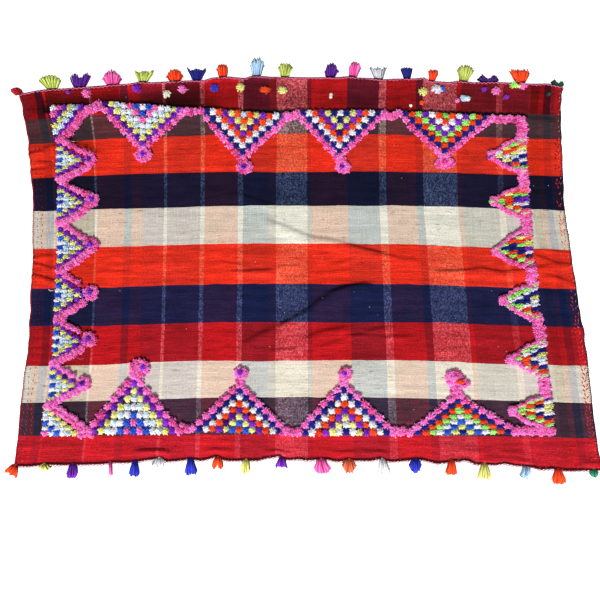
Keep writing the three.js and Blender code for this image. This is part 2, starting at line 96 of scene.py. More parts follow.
def cloth_place(u, v):
    """Where the threads u and v cross, in plan."""
    u, v = np.broadcast_arrays(np.asarray(u, float), np.asarray(v, float))
    bow = (u / HALF_WEFT) ** 2
    left = u < 0
    left_x = u + (weft_value("left", v) + HALF_WEFT) * bow
    right_x = u * weft_value("right", v) / HALF_WEFT
    drop = np.where(left, weft_value("left_drop", v), weft_value("right_drop", v))
    return np.where(left, left_x, right_x), v - drop * bow


def threads_at(x, y):
    """The threads that cross at a place in plan: the other way round from cloth_place."""
    x, y = np.broadcast_arrays(np.asarray(x, float), np.asarray(y, float))
    u, v = x.copy(), y.copy()
    for _ in range(12):
        px, py = cloth_place(u, v)
        u = u + (x - px)
        v = v + (y - py)
    return u, v


def soft(distance, reach):
    """The soft side of a ridge: 1 on its crest, 0 from its edge on."""
    t = np.minimum(np.abs(distance) / reach, 1)
    return (1 - t * t) ** 2


# Creases: the height of each, how far it falls to its lit and its shaded side, and its shaded line
CREASES = [
    (8, 40, 15, [(-250, 286), (-193, 269), (-120, 247)]),
    (6.5, 46, 19, [(-108, 173), (-40, 145), (12, 121), (48, 110), (100, 104), (166, 89), (231, 68)]),
    (11.5, 50, 18, [(215, 73), (231, 68), (310, 47)]),
    (7, 40, 14, [(310, 47), (397, 23), (450, 19)]),
    (12, 60, 18, [(-205, -304), (-130, -264), (-47, -232)]),
    (19, 76, 17, [(-70, -238), (-47, -229), (20, -190), (71, -150), (125, -112), (178, -94)]),
    (17, 70, 24, [(125, -112), (178, -94), (205, -86), (250, -80)]),
    (9.5, 46, 16, [(10, -296), (70, -272), (118, -261), (165, -254)]),
    (9, 34, 14, [(190, -283), (235, -280), (280, -281)]),
    (7, 28, 12, [(275, -263), (333, -253)]),
    (6.5, 28, 12, [(335, -289), (405, -287)]),
    (6, 32, 13, [(70, -326), (135, -306), (210, -287)]),
    (6, 24, 10, [(-17, -272), (-36, -297), (-70, -312)]),
    (8, 28, 11, [(-89, -339), (-25, -335), (30, -311)]),
    (6.5, 34, 13, [(-66, -307), (-8, -279)]),
    (9.5, 32, 13, [(-240, -29), (-190, -27), (-130, -24)]),
    (4.5, 22, 10, [(-72, -9), (-30, -6)]),
    (4, 22, 10, [(-59, -50), (5, -50)]),
    (4.5, 24, 10, [(155, 6), (210, 24)]),
    (4.5, 26, 10, [(79, -35), (180, -24)]),
    (4, 22, 10, [(-300, 8), (-240, -2)]),
    (10, 40, 14, [(560, -28), (640, -26), (714, -17), (795, -32), (860, -26), (923, -19), (985, -3)]),
    (8, 30, 12, [(945, 32), (975, 22), (1015, 3), (1065, -2)]),
    (7, 28, 12, [(970, -40), (1020, -54), (1070, -76)]),
    (5, 24, 10, [(978, 58), (1050, 48)]),
    (5, 30, 12, [(-780, -30), (-680, -30)]),
    (15, 34, 16, [(-1092, 454), (-1046, 465), (-1002, 488)]),
    (8, 26, 11, [(-1090, 426), (-1030, 418)]),
    (11, 42, 16, [(-925, 504), (-878, 488), (-832, 468)]),
    (8, 26, 11, [(-1074, 386), (-1030, 396), (-992, 403)]),
    (7, 22, 10, [(-1060, 26), (-1010, 34)]),
    (8, 24, 10, [(-1062, 4), (-1000, -12)]),
    (7, 22, 10, [(-1050, -17), (-972, -17)]),
    (9, 24, 11, [(-1050, -46), (-1005, -56), (-962, -72)]),
    (11, 28, 12, [(-606, -727), (-522, -727)]),
    (7, 24, 11, [(-338, -724), (-286, -722)]),
    (7, 24, 11, [(-112, -730), (-52, -734)]),
    (6, 22, 11, [(150, -730), (196, -730)]),
    (7, 22, 11, [(262, -728), (310, -730)]),
    (6, 22, 11, [(640, -726), (676, -727)]),
    (6, 22, 11, [(786, -728), (838, -732)]),
    (8, 16, 26, [(715, -745), (770, -748)]),
    (11, 14, 28, [(818, -749), (868, -757)]),
    (9, 14, 26, [(1090, -760), (1150, -772)]),
    (7, 28, 13, [(328, 686), (390, 689), (448, 697)]),
]
# The crest runs below the shaded line by this share of its shaded side
CREST_OFFSET = 0.55
# How soon a crease dies away past its ends
CREASE_END = 45

# The upper edge of the upper border: the thread v there at each thread u. The cloth stands on a
# swell under the border, falls away just past this line, and climbs again to the hem
BORDER_TOP_U = (-1060, -870, -646, -430, -233, 591, 1060)
BORDER_TOP_V = (690, 682, 674, 644, 630, 624, 622)
# The swell: its height, how far below the line its crest runs, its outer and inner sides, its end
SWELL_HEIGHT = 8.0
SWELL_CREST = 14
SWELL_OUTER = 28
SWELL_INNER = 60
SWELL_END = 1040
# The climb to the hem: its height, where it starts past the line, its bend, and how it ends
HEM_HEIGHT = 12.0
CLIMB_START = 8
CLIMB_BEND = 1.2
CLIMB_END = 70
# Gentle waves all over the cloth: size, random seed and height. They end this far from the edges
WAVES = ((95, 3, 1.1), (38, 4, 0.7))
WAVES_END = 30


def crease_height(x, y, high, lit_side, shaded_side, line):
    """The height of one crease at each place."""
    best = np.full(x.shape, np.inf)
    signed = np.zeros(x.shape)
    past = np.zeros(x.shape)
    for number, ((x1, y1), (x2, y2)) in enumerate(zip(line, line[1:])):
        dx, dy = x2 - x1, y2 - y1
        length = math.hypot(dx, dy)
        along = ((x - x1) * dx + (y - y1) * dy) / length
        across = (dx * (y - y1) - dy * (x - x1)) / length
        inside = np.clip(along, 0, length)
        distance = np.hypot(along - inside, across)
        over = np.zeros(x.shape)
        if number == 0:
            over = np.maximum(over, -along)
        if number == len(line) - 2:
            over = np.maximum(over, along - length)
        nearer = distance < best
        best = np.where(nearer, distance, best)
        sided = np.where(over > 0, across, np.copysign(distance, across))
        signed = np.where(nearer, sided, signed)
        past = np.where(nearer, over, past)
    off = signed + CREST_OFFSET * shaded_side
    side = np.where(off > 0, soft(off, shaded_side), soft(off, lit_side))
    return high * side * soft(past, CREASE_END)


# How many random values a side smooth_noise repeats
LATTICE = 64


def smooth_noise(x, y, size, seed):
    """Gentle waves from 0 to 1: random values on a lattice of that size, joined smoothly."""
    lattice = np.random.RandomState(seed).rand(LATTICE, LATTICE)
    gx, gy = x / size + LATTICE / 2, y / size + LATTICE / 2
    ix, iy = np.floor(gx).astype(int), np.floor(gy).astype(int)
    fx, fy = gx - ix, gy - iy
    fx, fy = fx * fx * (3 - 2 * fx), fy * fy * (3 - 2 * fy)

    def at(a, b):
        return lattice[a % LATTICE, b % LATTICE]

    low = at(ix, iy) * (1 - fx) + at(ix + 1, iy) * fx
    high = at(ix, iy + 1) * (1 - fx) + at(ix + 1, iy + 1) * fx
    return low * (1 - fy) + high * fy


def lift(u, v):
    """How far the underside of the cloth stands off the floor, in millimetres."""
    u, v = np.broadcast_arrays(np.asarray(u, float), np.asarray(v, float))
    x, y = cloth_place(u, v)
    height = np.zeros(x.shape)
    for crease in CREASES:
        height = np.maximum(height, crease_height(x, y, *crease))
    border = np.interp(u, BORDER_TOP_U, BORDER_TOP_V)
    past = v - border + SWELL_CREST
    swell = SWELL_HEIGHT * np.where(past > 0, soft(past, SWELL_OUTER), soft(past, SWELL_INNER))
    height = np.maximum(height, swell * (np.abs(u) < SWELL_END))
    from_side = HALF_WEFT - np.abs(u)
    climb = (v - border - CLIMB_START) / (HEM_TOP - border - CLIMB_START)
    climb = np.clip(climb, 0, 1) ** CLIMB_BEND
    height = np.maximum(height, HEM_HEIGHT * climb * np.clip(from_side / CLIMB_END, 0, 1))
    waves = sum(smooth_noise(x, y, size, seed) * high for size, seed, high in WAVES)
    inner = np.minimum(np.minimum(HEM_TOP - v, v - HEM_BOTTOM), from_side)
    return height + waves * np.clip(inner / WAVES_END, 0, 1)


# Tassels along each hem: name, thread u, reach, fan, lean to the right, form and yarn
TOP_TASSELS = [
    ("lime_1", -941, 62, 86, -16, "brush", "lime"),
    ("purple_1", -846, 64, 78, 2, "heart", "grape"),
    ("pink_1", -725, 62, 80, -6, "dome", "pink"),
    ("olive_1", -613, 54, 76, 2, "crown", "lime"),
    ("orange_1", -492, 52, 70, -4, "dome", "orange"),
    ("navy_1", -410, 58, 74, -2, "crown", "navy"),
    ("orange_2", -308, 54, 46, -4, "block", "orange"),
    ("sky_1", -177, 76, 54, 4, "block", "sky"),
    ("lime_2", -62, 62, 58, 2, "brush", "lime"),
    ("purple_2", 121, 60, 56, 8, "dome", "grape"),
    ("pink_2", 212, 62, 46, 14, "block", "pink"),
    ("grey_1", 319, 58, 66, -3, "crown", "grey"),
    ("navy_2", 432, 50, 46, 0, "flat", "navy"),
    ("orange_3", 532, 50, 38, 8, "flat", "orange"),
    ("lime_3", 658, 72, 66, 12, "brush", "lime"),
    ("purple_3", 766, 32, 84, -6, "humps", "plum"),
    ("scarlet_1", 890, 62, 82, -2, "flat", "orange"),
]
BOTTOM_TASSELS = [
    ("lemon_1", -951, 24, 46, 4, "dome", "lemon"),
    ("purple_4", -845, 52, 42, -4, "block", "violet"),
    ("pink_3", -710, 48, 12, 4, "wisp", "pink"),
    ("blue_1", -618, 54, 38, -3, "flat", "cobalt"),
    ("white_1", -530, 40, 52, -4, "dome", "silver"),
    ("navy_3", -413, 58, 44, 2, "flat", "cobalt"),
    ("orange_4", -310, 46, 42, -2, "heart", "orange"),
    ("lime_4", -204, 50, 36, -3, "brush", "lemon"),
    ("violet_1", -68, 42, 42, -3, "crown", "violet"),
    ("pink_4", 74, 56, 60, 6, "brush", "pink"),
    ("coral_1", 174, 52, 54, 0, "dome", "coral"),
    ("white_2", 290, 66, 48, 6, "brush", "silver"),
    ("blue_2", 409, 52, 46, -2, "dome", "cobalt"),
    ("orange_5", 536, 54, 40, -2, "flat", "orange"),
    ("lemon_2", 652, 58, 50, -2, "flat", "lemon"),
    ("sky_2", 802, 48, 38, -10, "block", "sky"),
    ("orange_6", 911, 54, 50, 2, "flat", "orange"),
]
# Corner tassels: name, threads u and v, direction in x and y, reach, fan, form and yarn
CORNER_TASSELS = [
    ("red_corner", -1050, 787, -0.97, 0.24, 46, 32, "dome", "crimson"),
    ("green_corner", 1036, 779, 0.2, 0.98, 28, 54, "humps", "bottle"),
    ("scarlet_corner", -1056, -760, -0.45, -0.89, 46, 50, "crown", "orange"),
    ("teal_corner", 1034, -760, 0.02, -1, 32, 34, "dome", "sea_green"),
]
# Forms: how far the middle, the shoulders and the edges reach, and how late a tassel widens
FORMS = {
    "brush": (1.0, 0.95, 0.76, 0.85),
    "flat": (0.97, 1.0, 0.93, 0.9),
    "dome": (1.0, 0.88, 0.52, 0.6),
    "block": (1.0, 0.98, 0.78, 0.45),
    "heart": (0.68, 1.0, 0.80, 0.6),
    "crown": (0.92, 0.82, 1.0, 0.85),
    "humps": (0.50, 1.0, 0.55, 0.5),
    "wisp": (1.0, 1.0, 0.9, 0.9),
}

# Yarns, in linear light
YARNS = {
    "pink": (1.0, 0.130, 0.475),
    "violet": (0.20, 0.020, 0.47),
    "plum": (0.060, 0.012, 0.17),
    "grape": (0.115, 0.014, 0.29),
    "navy": (0.014, 0.018, 0.23),
    "cobalt": (0.030, 0.045, 0.56),
    "blue": (0.016, 0.105, 0.60),
    "orange": (1.0, 0.075, 0.012),
    "coral": (0.90, 0.20, 0.09),
    "lemon": (0.79, 0.75, 0.24),
    "lime": (0.58, 0.66, 0.16),
    "green": (0.34, 0.82, 0.17),
    "sky": (0.44, 0.64, 0.86),
    "pale_sky": (0.60, 0.76, 0.95),
    "white": (0.86, 0.82, 0.93),
    "grey": (0.62, 0.62, 0.66),
    "silver": (0.84, 0.84, 0.87),
    "sea_green": (0.045, 0.32, 0.17),
    "cream": (0.82, 0.76, 0.60),
    "bottle": (0.010, 0.075, 0.050),
    "crimson": (0.42, 0.012, 0.020),
    "maroon": (0.10, 0.004, 0.010),
    "rose": (0.80, 0.16, 0.33),
    "ink": (0.010, 0.012, 0.030),
    "brick": (0.50, 0.028, 0.035),
    "magenta": (0.80, 0.03, 0.30),
    "old_rose": (0.62, 0.19, 0.24),
    "soot": (0.020, 0.004, 0.006),
}


def to_row(x, y, z):
    """Plan positions and heights in millimetres, as points of the row frame in metres."""
    x, y, z = np.broadcast_arrays(x, y, z)
    return np.stack([(x - MIDDLE[0]) * MM, (y - MIDDLE[1]) * MM, z * MM], axis=-1)


def make_object(name, points, quads=(), triangles=(), **attributes):
    """A mesh object from arrays. Attributes have a row a point: 3 numbers a vector, 4 a colour."""
    quads = np.asarray(quads, np.int64).reshape(-1, 4)
    triangles = np.asarray(triangles, np.int64).reshape(-1, 3)
    mesh = bpy.data.meshes.new(name)
    mesh.vertices.add(len(points))
    mesh.vertices.foreach_set("co", np.asarray(points, np.float32).ravel())
    corners = np.concatenate([quads.ravel(), triangles.ravel()])
    after_quads = len(quads) * 4
    starts = np.concatenate([np.arange(len(quads)) * 4, after_quads + np.arange(len(triangles)) * 3])
    mesh.loops.add(len(corners))
    mesh.loops.foreach_set("vertex_index", corners.astype(np.int32))
    mesh.polygons.add(len(starts))
    mesh.polygons.foreach_set("loop_start", starts.astype(np.int32))
    mesh.polygons.foreach_set("use_smooth", np.full(len(starts), True))
    mesh.update(calc_edges=True)
    for key, values in attributes.items():
        values = np.asarray(values, np.float32)
        kind, field = ("FLOAT_VECTOR", "vector") if values.shape[1] == 3 else ("FLOAT_COLOR", "color")
        layer = mesh.attributes.new(key, kind, "POINT")
        layer.data.foreach_set(field, values.ravel())
    mesh.validate()
    thing = bpy.data.objects.new(name, mesh)
    bpy.context.scene.collection.objects.link(thing)
    return thing


class Graph:
    """Small helpers that add nodes to a material and join them."""

    def __init__(self, name):
        self.material = bpy.data.materials.new(name)
        self.material.use_nodes = True
        self.tree = self.material.node_tree
        self.shader = next(n for n in self.tree.nodes if n.type == "BSDF_PRINCIPLED")

    def put(self, socket, value):
        if isinstance(value, bpy.types.NodeSocket):
            self.tree.links.new(value, socket)
        elif isinstance(value, tuple) and len(value) == 3 and socket.type == "RGBA":
            socket.default_value = (*value, 1)
        else:
            socket.default_value = value

    def node(self, kind, inputs=(), **settings):
        node = self.tree.nodes.new(kind)
        for key, value in settings.items():
            setattr(node, key, value)
        for key, value in dict(inputs).items():
            self.put(node.inputs[key], value)
        return node

    def shade(self, inputs):
        """Gives the shader its inputs, by name."""
        for key, value in inputs.items():
            self.put(self.shader.inputs[key], value)

    def math(self, operation, a, b=0.0, c=0.0, clamp=False):
        node = self.node("ShaderNodeMath", {0: a, 1: b, 2: c}, operation=operation, use_clamp=clamp)
        return node.outputs[0]

    def times(self, first, *others):
        """The product of numbers."""
        for other in others:
            first = self.math("MULTIPLY", first, other)
        return first

    def vector(self, x, y, z=0.0):
        return self.node("ShaderNodeCombineXYZ", {0: x, 1: y, 2: z}).outputs[0]

    def noise(self, vector, detail=2.0, scale=1.0, rough=0.5):
        inputs = {"Vector": vector, "Scale": scale, "Detail": detail, "Roughness": rough}
        return self.node("ShaderNodeTexNoise", inputs).outputs[0]

    def span(self, value, low, high, to_low=0.0, to_high=1.0):
        """A value from low to high, as one from to_low to to_high."""
        inputs = {0: value, 1: low, 2: high, 3: to_low, 4: to_high}
        return self.node("ShaderNodeMapRange", inputs).outputs[0]

    def mix(self, share, a, b, blend="MIX"):
        node = self.node("ShaderNodeMix", data_type="RGBA", blend_type=blend)
        self.put(node.inputs[0], share)
        self.put(node.inputs[6], a)
        self.put(node.inputs[7], b)
        return node.outputs[2]

    def tint(self, color, by):
        """A colour times another."""
        return self.mix(1.0, color, by, "MULTIPLY")

    def blend(self, share, a, b):
        node = self.node("ShaderNodeMix", {0: share, 2: a, 3: b}, data_type="FLOAT")
        return node.outputs[0]

    def bump(self, height, strength, distance):
        inputs = {"Height": height, "Strength": strength, "Distance": distance}
        return self.node("ShaderNodeBump", inputs).outputs[0]

    def grey(self, value):
        return self.node("ShaderNodeCombineColor", {0: value, 1: value, 2: value}).outputs[0]

    def ramp(self, value, stops):
        """Steps of colour and alpha. stops are (where it starts, (r, g, b), alpha), from 0 to 1."""
        node = self.node("ShaderNodeValToRGB", {0: value})
        node.color_ramp.interpolation = "CONSTANT"
        elements = node.color_ramp.elements
        while len(elements) < len(stops):
            elements.new(1.0)
        for element, (start, color, alpha) in zip(elements, stops):
            element.position = start
            element.color = (*color, alpha)
        return node.outputs["Color"], node.outputs["Alpha"]


# Weft bands, from the bottom hem up: where each one ends, its yarn, how much of the warp shows
# through, how the band tones that, and the tone of its flecks and how far they stand out. Yarns of
# the cloth are in display values, in which weft and warp mix as the eye sees them.
WEFT_BANDS = [
    (-670, (0.81, 0.155, 0.19), 0.26, (0.90, 0.62, 0.68), (0.86, 0.45, 0.52), 0.30),
    (-527, (0.09, 0.22, 0.27), 0.34, (0.95, 0.88, 0.88), (0.92, 0.72, 0.76), 0.32),
    (-386, (0.955, 0.935, 0.80), 0.315, (0.92, 3.25, 2.72), (0.92, 0.86, 0.84), 0.30),
    (-234, (0.65, 0.14, 0.16), 0.42, (0.96, 0.46, 0.49), (0.98, 0.52, 0.55), 0.34),
    (-86, (0.05, 0.14, 0.27), 0.24, (0.56, 0.66, 0.92), (0.64, 0.65, 0.83), 0.27),
    (79, (0.96, 0.21, 0.125), 0.25, (0.86, 0.90, 0.69), (0.84, 0.71, 0.56), 0.30),
    (238, (0.965, 0.95, 0.85), 0.40, (0.81, 3.00, 2.08), (0.84, 0.84, 0.85), 0.30),
    (375, (0.04, 0.095, 0.165), 0.26, (0.46, 0.71, 0.98), (0.52, 0.64, 0.83), 0.28),
    (535, (0.915, 0.20, 0.11), 0.28, (0.86, 0.94, 0.69), (0.85, 0.74, 0.56), 0.30),
    (640, (0.175, 0.235, 0.25), 0.27, (0.80, 0.38, 0.38), (0.96, 0.84, 0.78), 0.42),
    (779, (0.13, 0.00, 0.00), 0.60, (1.00, 0.90, 0.80), (1.00, 0.55, 0.58), 0.40),
]

# Warp yarns, and how much of each one is flecked with white
WARP_YARNS = {
    "rust": ((0.87, 0.15, 0.19), 0.05),
    "rose": ((0.82, 0.148, 0.19), 0.06),
    "taupe": ((0.64, 0.155, 0.255), 0.05),
    "clay": ((0.59, 0.16, 0.235), 0.04),
    "slate": ((0.45, 0.146, 0.255), 0.04),
    "umber": ((0.50, 0.11, 0.13), 0.02),
    "brick": ((0.68, 0.11, 0.15), 0.02),
    "teal": ((0.33, 0.09, 0.20), 0.02),
    "flecked": ((0.82, 0.22, 0.30), 1.00),
    "thin_flecked": ((0.80, 0.20, 0.28), 0.60),
}

# Warp stripes from the left hem to the middle, then on to the right hem: where each one ends
LEFT_STRIPES = [
    (-1037, "clay"), (-1009, "brick"), (-981, "teal"), (-969, "rose"), (-818, "umber"),
    (-809, "flecked"), (-702, "rust"), (-674, "slate"), (-626, "rose"), (-546, "taupe"),
    (-531, "flecked"), (-401, "taupe"), (-384, "flecked"), (-251, "rust"), (-231, "flecked"),
    (-128, "slate"), (-96, "clay"), (0, "flecked"),
]
RIGHT_STRIPES = [
    (28, "flecked"), (44, "clay"), (188, "rust"), (315, "slate"), (345, "flecked"), (467, "rose"),
    (496, "slate"), (633, "flecked"), (650, "rose"), (791, "clay"), (816, "thin_flecked"),
    (870, "taupe"), (930, "clay"), (963, "umber"), (985, "brick"), (1013, "teal"), (1030, "clay"),
    (1060, "rose"),
]


# Sizes in metres: a fleck, and half a turn of the weave along each thread
FLECK_ACROSS = 0.0036
FLECK_ALONG = 0.0054
WEAVE_U = 0.0027
WEAVE_V = 0.0021
# The strip outside the upper border, with painted shade and painted light, in metres: the border's
# edge at two threads u, how far the painted shadow beside it reaches and how bright it is there, the
# strip's ends, and the threads v between which it turns from its inner tones (painted shade) to its
# outer ones (painted light towards the hem), and u from its left tones to its right ones
STRIP_EDGE_U = (-0.60, -0.23)
STRIP_EDGE_V = (0.664, 0.622)
STRIP_SHADE = (0.004, 0.024)
STRIP_SHADED = 0.42
STRIP_ENDS = (-0.985, 0.925)
STRIP_TURN_V = (0.690, 0.765)
STRIP_TURN_U = (-0.50, -0.20)
STRIP_SHADED_TONES = (0.50, 0.90)
STRIP_LIT_TONES = (1.34, 1.06)
# Dark stripes in it: middle and reach, how dark they are, and how soft their edges
STRIP_DARK = ((-0.7555, 0.053), (-0.466, 0.065))
STRIP_DARK_TONE = 0.72
STRIP_DARK_EDGE = 0.003
# The highest tone that a band may have, and the share of light that the brightest cloth gives back
TONE_RANGE = 4.0
CLOTH_GAIN = 0.82


def ramp_stops(rows, low, high):
    """(end, colour, alpha) rows as ramp stops over low to high."""
    starts = [low] + [end for end, _color, _alpha in rows[:-1]]
    steps = zip(starts, rows)
    return [((start - low) / (high - low), color, alpha) for start, (_end, color, alpha) in steps]


class ClothGraph(Graph):
    """A graph that knows the cloth's threads u and v at each place, in metres."""

    def __init__(self, name):
        super().__init__(name)
        threads = self.node("ShaderNodeAttribute", attribute_name="threads").outputs["Vector"]
        split = self.node("ShaderNodeSeparateXYZ", {0: threads})
        self.u, self.v = split.outputs[0], split.outputs[1]

    def stretched(self, by_u, by_v, seed, detail=2, rough=0.5):
        """Noise with its own scale along each thread."""
        place = self.vector(self.times(self.u, by_u), self.times(self.v, by_v), seed)
        return self.noise(place, detail, 1.0, rough)

    def astray(self, thread, reach, by_u, by_v, seed):
        """A thread that wanders a little, so the edges of bands and stripes aren't ruled lines."""
        drift = self.math("SUBTRACT", self.stretched(by_u, by_v, seed, 3), 0.5)
        return self.math("MULTIPLY_ADD", drift, reach, thread)


def weft_bands(g, v_drawn):
    """The bands: (yarn, how much warp shows), (tone of the warp), (tone and share of flecks)."""
    # Ramps hold values up to 1, so the tones go in as shares of TONE_RANGE
    wefts, tones, flecks = [], [], []
    for end, color, share, tone, fleck, stand_out in WEFT_BANDS:
        wefts.append((end, color, share))
        tones.append((end, tuple(part / TONE_RANGE for part in tone), 1.0))
        flecks.append((end, fleck, stand_out))
    place = g.span(v_drawn, HEM_BOTTOM * MM, HEM_TOP * MM)
    bands = [g.ramp(place, ramp_stops(rows, HEM_BOTTOM, HEM_TOP)) for rows in (wefts, tones, flecks)]
    return bands[0], g.tint(bands[1][0], (TONE_RANGE,) * 3), bands[2]


def warp_stripes(g, u_drawn):
    """The stripes: their yarn, and how much of it is flecked."""
    sides = []
    for stripes, low, high in ((LEFT_STRIPES, -HALF_WEFT, 0), (RIGHT_STRIPES, 0, HALF_WEFT)):
        rows = [(end, *WARP_YARNS[yarn]) for end, yarn in stripes]
        sides.append(g.ramp(g.span(u_drawn, low * MM, high * MM), ramp_stops(rows, low, high)))
    is_right = g.math("GREATER_THAN", u_drawn, 0.0)
    (left, left_flecks), (right, right_flecks) = sides
    return g.mix(is_right, left, right), g.blend(is_right, left_flecks, right_flecks)


def white_flecks(g, fleck_share):
    """How strongly a fleck shows at each place: short dashes along each warp yarn."""
    yarn = g.math("FLOOR", g.math("DIVIDE", g.u, FLECK_ACROSS))
    slip = g.node("ShaderNodeTexWhiteNoise", {"W": yarn}, noise_dimensions="1D").outputs[0]
    dash = g.math("FLOOR", g.math("MULTIPLY_ADD", g.v, 1 / FLECK_ALONG, g.times(slip, 7.0)))
    dash = g.vector(yarn, dash)
    fleck = g.node("ShaderNodeTexWhiteNoise", {"Vector": dash}, noise_dimensions="2D").outputs[0]
    return g.times(fleck_share, g.span(fleck, 0.20, 0.85, 0.28, 0.92))


def warp_on_top(g, waves, patch, show, flecks):
    """How much of the warp shows at each place: it is on top where the two waves agree."""
    fleck_share, fleck, stand_out = flecks
    over = g.span(g.times(*waves), 0.05, 0.40)
    show = g.times(show, g.blend(over, 0.70, 1.80), g.math("MULTIPLY_ADD", fleck_share, -0.30, 1.0))
    show = g.math("MULTIPLY_ADD", fleck, g.times(stand_out, 0.80), show)
    show = g.times(show, g.span(g.stretched(420, 7, 3.0), 0.3, 0.7, 0.80, 1.20))
    return g.math("MULTIPLY", show, g.span(patch, 0.3, 0.7, 0.88, 1.12), clamp=True)


def unevenness(g, weft, slub, grit, patch):
    """Uneven dyeing and thicker wefts, as a tone. Pale wefts are spun more evenly."""
    tone = g.times(
        g.span(slub, 0.3, 0.7, 0.91, 1.08),
        g.span(g.stretched(2.5, 55, 4.0), 0.3, 0.7, 0.94, 1.05),
        g.span(patch, 0.25, 0.75, 0.95, 1.04),
        g.span(grit, 0.3, 0.7, 0.90, 1.09),
    )
    pale = g.node("ShaderNodeSeparateColor", {0: weft}).outputs[1]
    return g.grey(g.math("POWER", tone, g.span(pale, 0.3, 0.9, 1.75, 0.95)))


def marked(g, woven):
    """The cloth with dark knots and ticks of thread, then painted shade of small puckers, here and
    there.
    """
    tick = g.span(g.stretched(90, 190, 6.0, 2, 0.65), 0.60, 0.68)
    tick = g.times(tick, g.span(g.stretched(6, 6, 9.0), 0.40, 0.60, 0.15, 0.60))
    # The puckers are only painted: darker patches that stand for their shade
    pucker_shade = g.span(g.stretched(26, 105, 12.0, 3, 0.6), 0.60, 0.70)
    pucker_shade = g.times(pucker_shade, g.span(g.stretched(5, 7, 13.0), 0.46, 0.60, 0.0, 0.75))
    for mark, stain_and_shade in ((tick, (0.62, 0.55, 0.55)), (pucker_shade, (0.66, 0.55, 0.55))):
        woven = g.mix(mark, woven, g.tint(woven, stain_and_shade))
    return woven


def strip_shade_and_light(g, u_drawn, v_drawn):
    """The strip's painted shade beside the upper border and painted light towards the hem, with its
    dark stripes, as a tone, and 1 elsewhere.
    """
    # Its inner tones are painted shade, and its outer tones are painted light towards the hem
    inner = g.span(g.u, *STRIP_TURN_U, *STRIP_SHADED_TONES)
    outer = g.span(g.u, *STRIP_TURN_U, *STRIP_LIT_TONES)
    tone = g.blend(g.span(v_drawn, *STRIP_TURN_V), inner, outer)
    for middle, reach in STRIP_DARK:
        off = g.math("ABSOLUTE", g.math("SUBTRACT", u_drawn, middle))
        edge = (reach - STRIP_DARK_EDGE, reach + STRIP_DARK_EDGE)
        tone = g.times(tone, g.span(off, *edge, STRIP_DARK_TONE, 1.0))
    # Painted shadow on the strip right beside the border
    border = g.span(g.u, *STRIP_EDGE_U, *STRIP_EDGE_V)
    past = g.math("SUBTRACT", v_drawn, border)
    tone = g.times(tone, g.span(past, *STRIP_SHADE, STRIP_SHADED, 1.0))
    inside = g.times(
        g.math("GREATER_THAN", v_drawn, border),
        g.math("LESS_THAN", g.u, STRIP_ENDS[1]),
        g.math("GREATER_THAN", g.u, STRIP_ENDS[0]),
    )
    return g.grey(g.blend(inside, 1.0, tone))


def linty(g, woven):
    """The cloth with a few pale specks of lint."""
    cells = g.node("ShaderNodeTexVoronoi", {"Vector": g.vector(g.u, g.v), "Scale": 34.0})
    chance = g.node("ShaderNodeSeparateColor", {0: cells.outputs["Color"]})
    spot = g.math("LESS_THAN", cells.outputs["Distance"], 0.060)
    rare = g.math("GREATER_THAN", chance.outputs[0], 0.84)
    return g.mix(g.times(spot, rare, 0.7), woven, (0.86, 0.74, 0.76))


def cloth_material():
    """Plain weave, bands across stripes, mixed in display values and then turned back to light."""
    g = ClothGraph("woven_wool")
    v_drawn = g.astray(g.v, 0.010, 9, 60, 0.0)
    u_drawn = g.astray(g.u, 0.007, 60, 7, 5.0)
    (weft, show), band_tone, (fleck_tone, stand_out) = weft_bands(g, v_drawn)
    warp, fleck_share = warp_stripes(g, u_drawn)
    fleck = white_flecks(g, fleck_share)
    warp = g.mix(fleck, g.tint(warp, band_tone), fleck_tone)

    wave_u = g.math("SINE", g.times(g.u, math.pi / WEAVE_U))
    wave_v = g.math("SINE", g.times(g.v, math.pi / WEAVE_V))
    patch = g.stretched(9, 9, 8.0, 3)
    slub = g.stretched(16, 330, 0.0)
    grit = g.stretched(170, 210, 1.0, 3, 0.6)
    show = warp_on_top(g, (wave_u, wave_v), patch, show, (fleck_share, fleck, stand_out))
    woven = g.mix(show, weft, warp)
    woven = g.tint(woven, unevenness(g, weft, slub, grit, patch))
    woven = marked(g, woven)
    # The strip outside the upper border gets its painted shade beside the border and painted light
    # towards the hem
    woven = g.tint(woven, strip_shade_and_light(g, u_drawn, v_drawn))
    woven = linty(g, woven)

    # The reflectance leaves room for the light
    light = g.node("ShaderNodeGamma", {0: woven, 1: 2.2}).outputs[0]
    ribs = g.math("ADD", g.math("ABSOLUTE", wave_u), g.times(g.math("ABSOLUTE", wave_v), 0.8))
    height = g.math("ADD", g.times(ribs, 0.45), g.times(slub, 0.9))
    height = g.math("ADD", height, g.times(grit, 0.8))
    g.shade(
        {
            "Base Color": g.tint(light, (CLOTH_GAIN,) * 3),
            "Normal": g.bump(height, 0.40, 0.0009),
            "Roughness": 0.95,
            "Specular IOR Level": 0.05,
            "Sheen Weight": 0.01,
            "Sheen Roughness": 0.6,
        }
    )
    return g.material


def yarn_material(name, fibre_size):
    """Wool yarn. Its colour is the points' own, with their painted shade and highlight, varied along
    the fibres.
    """
    g = Graph(name)
    color = g.node("ShaderNodeAttribute", attribute_name="yarn").outputs["Color"]
    place = g.node("ShaderNodeTexCoord").outputs["Object"]
    fibre = g.noise(place, detail=3, scale=1 / fibre_size, rough=0.6)
    tone = g.grey(g.span(fibre, 0.3, 0.7, 0.78, 1.18))
    g.shade(
        {
            "Base Color": g.tint(color, tone),
            "Normal": g.bump(fibre, 0.6, 0.0008),
            "Roughness": 0.9,
            "Specular IOR Level": 0.15,
            "Sheen Weight": 0.05,
            "Sheen Roughness": 0.5,
        }
    )
    return g.material


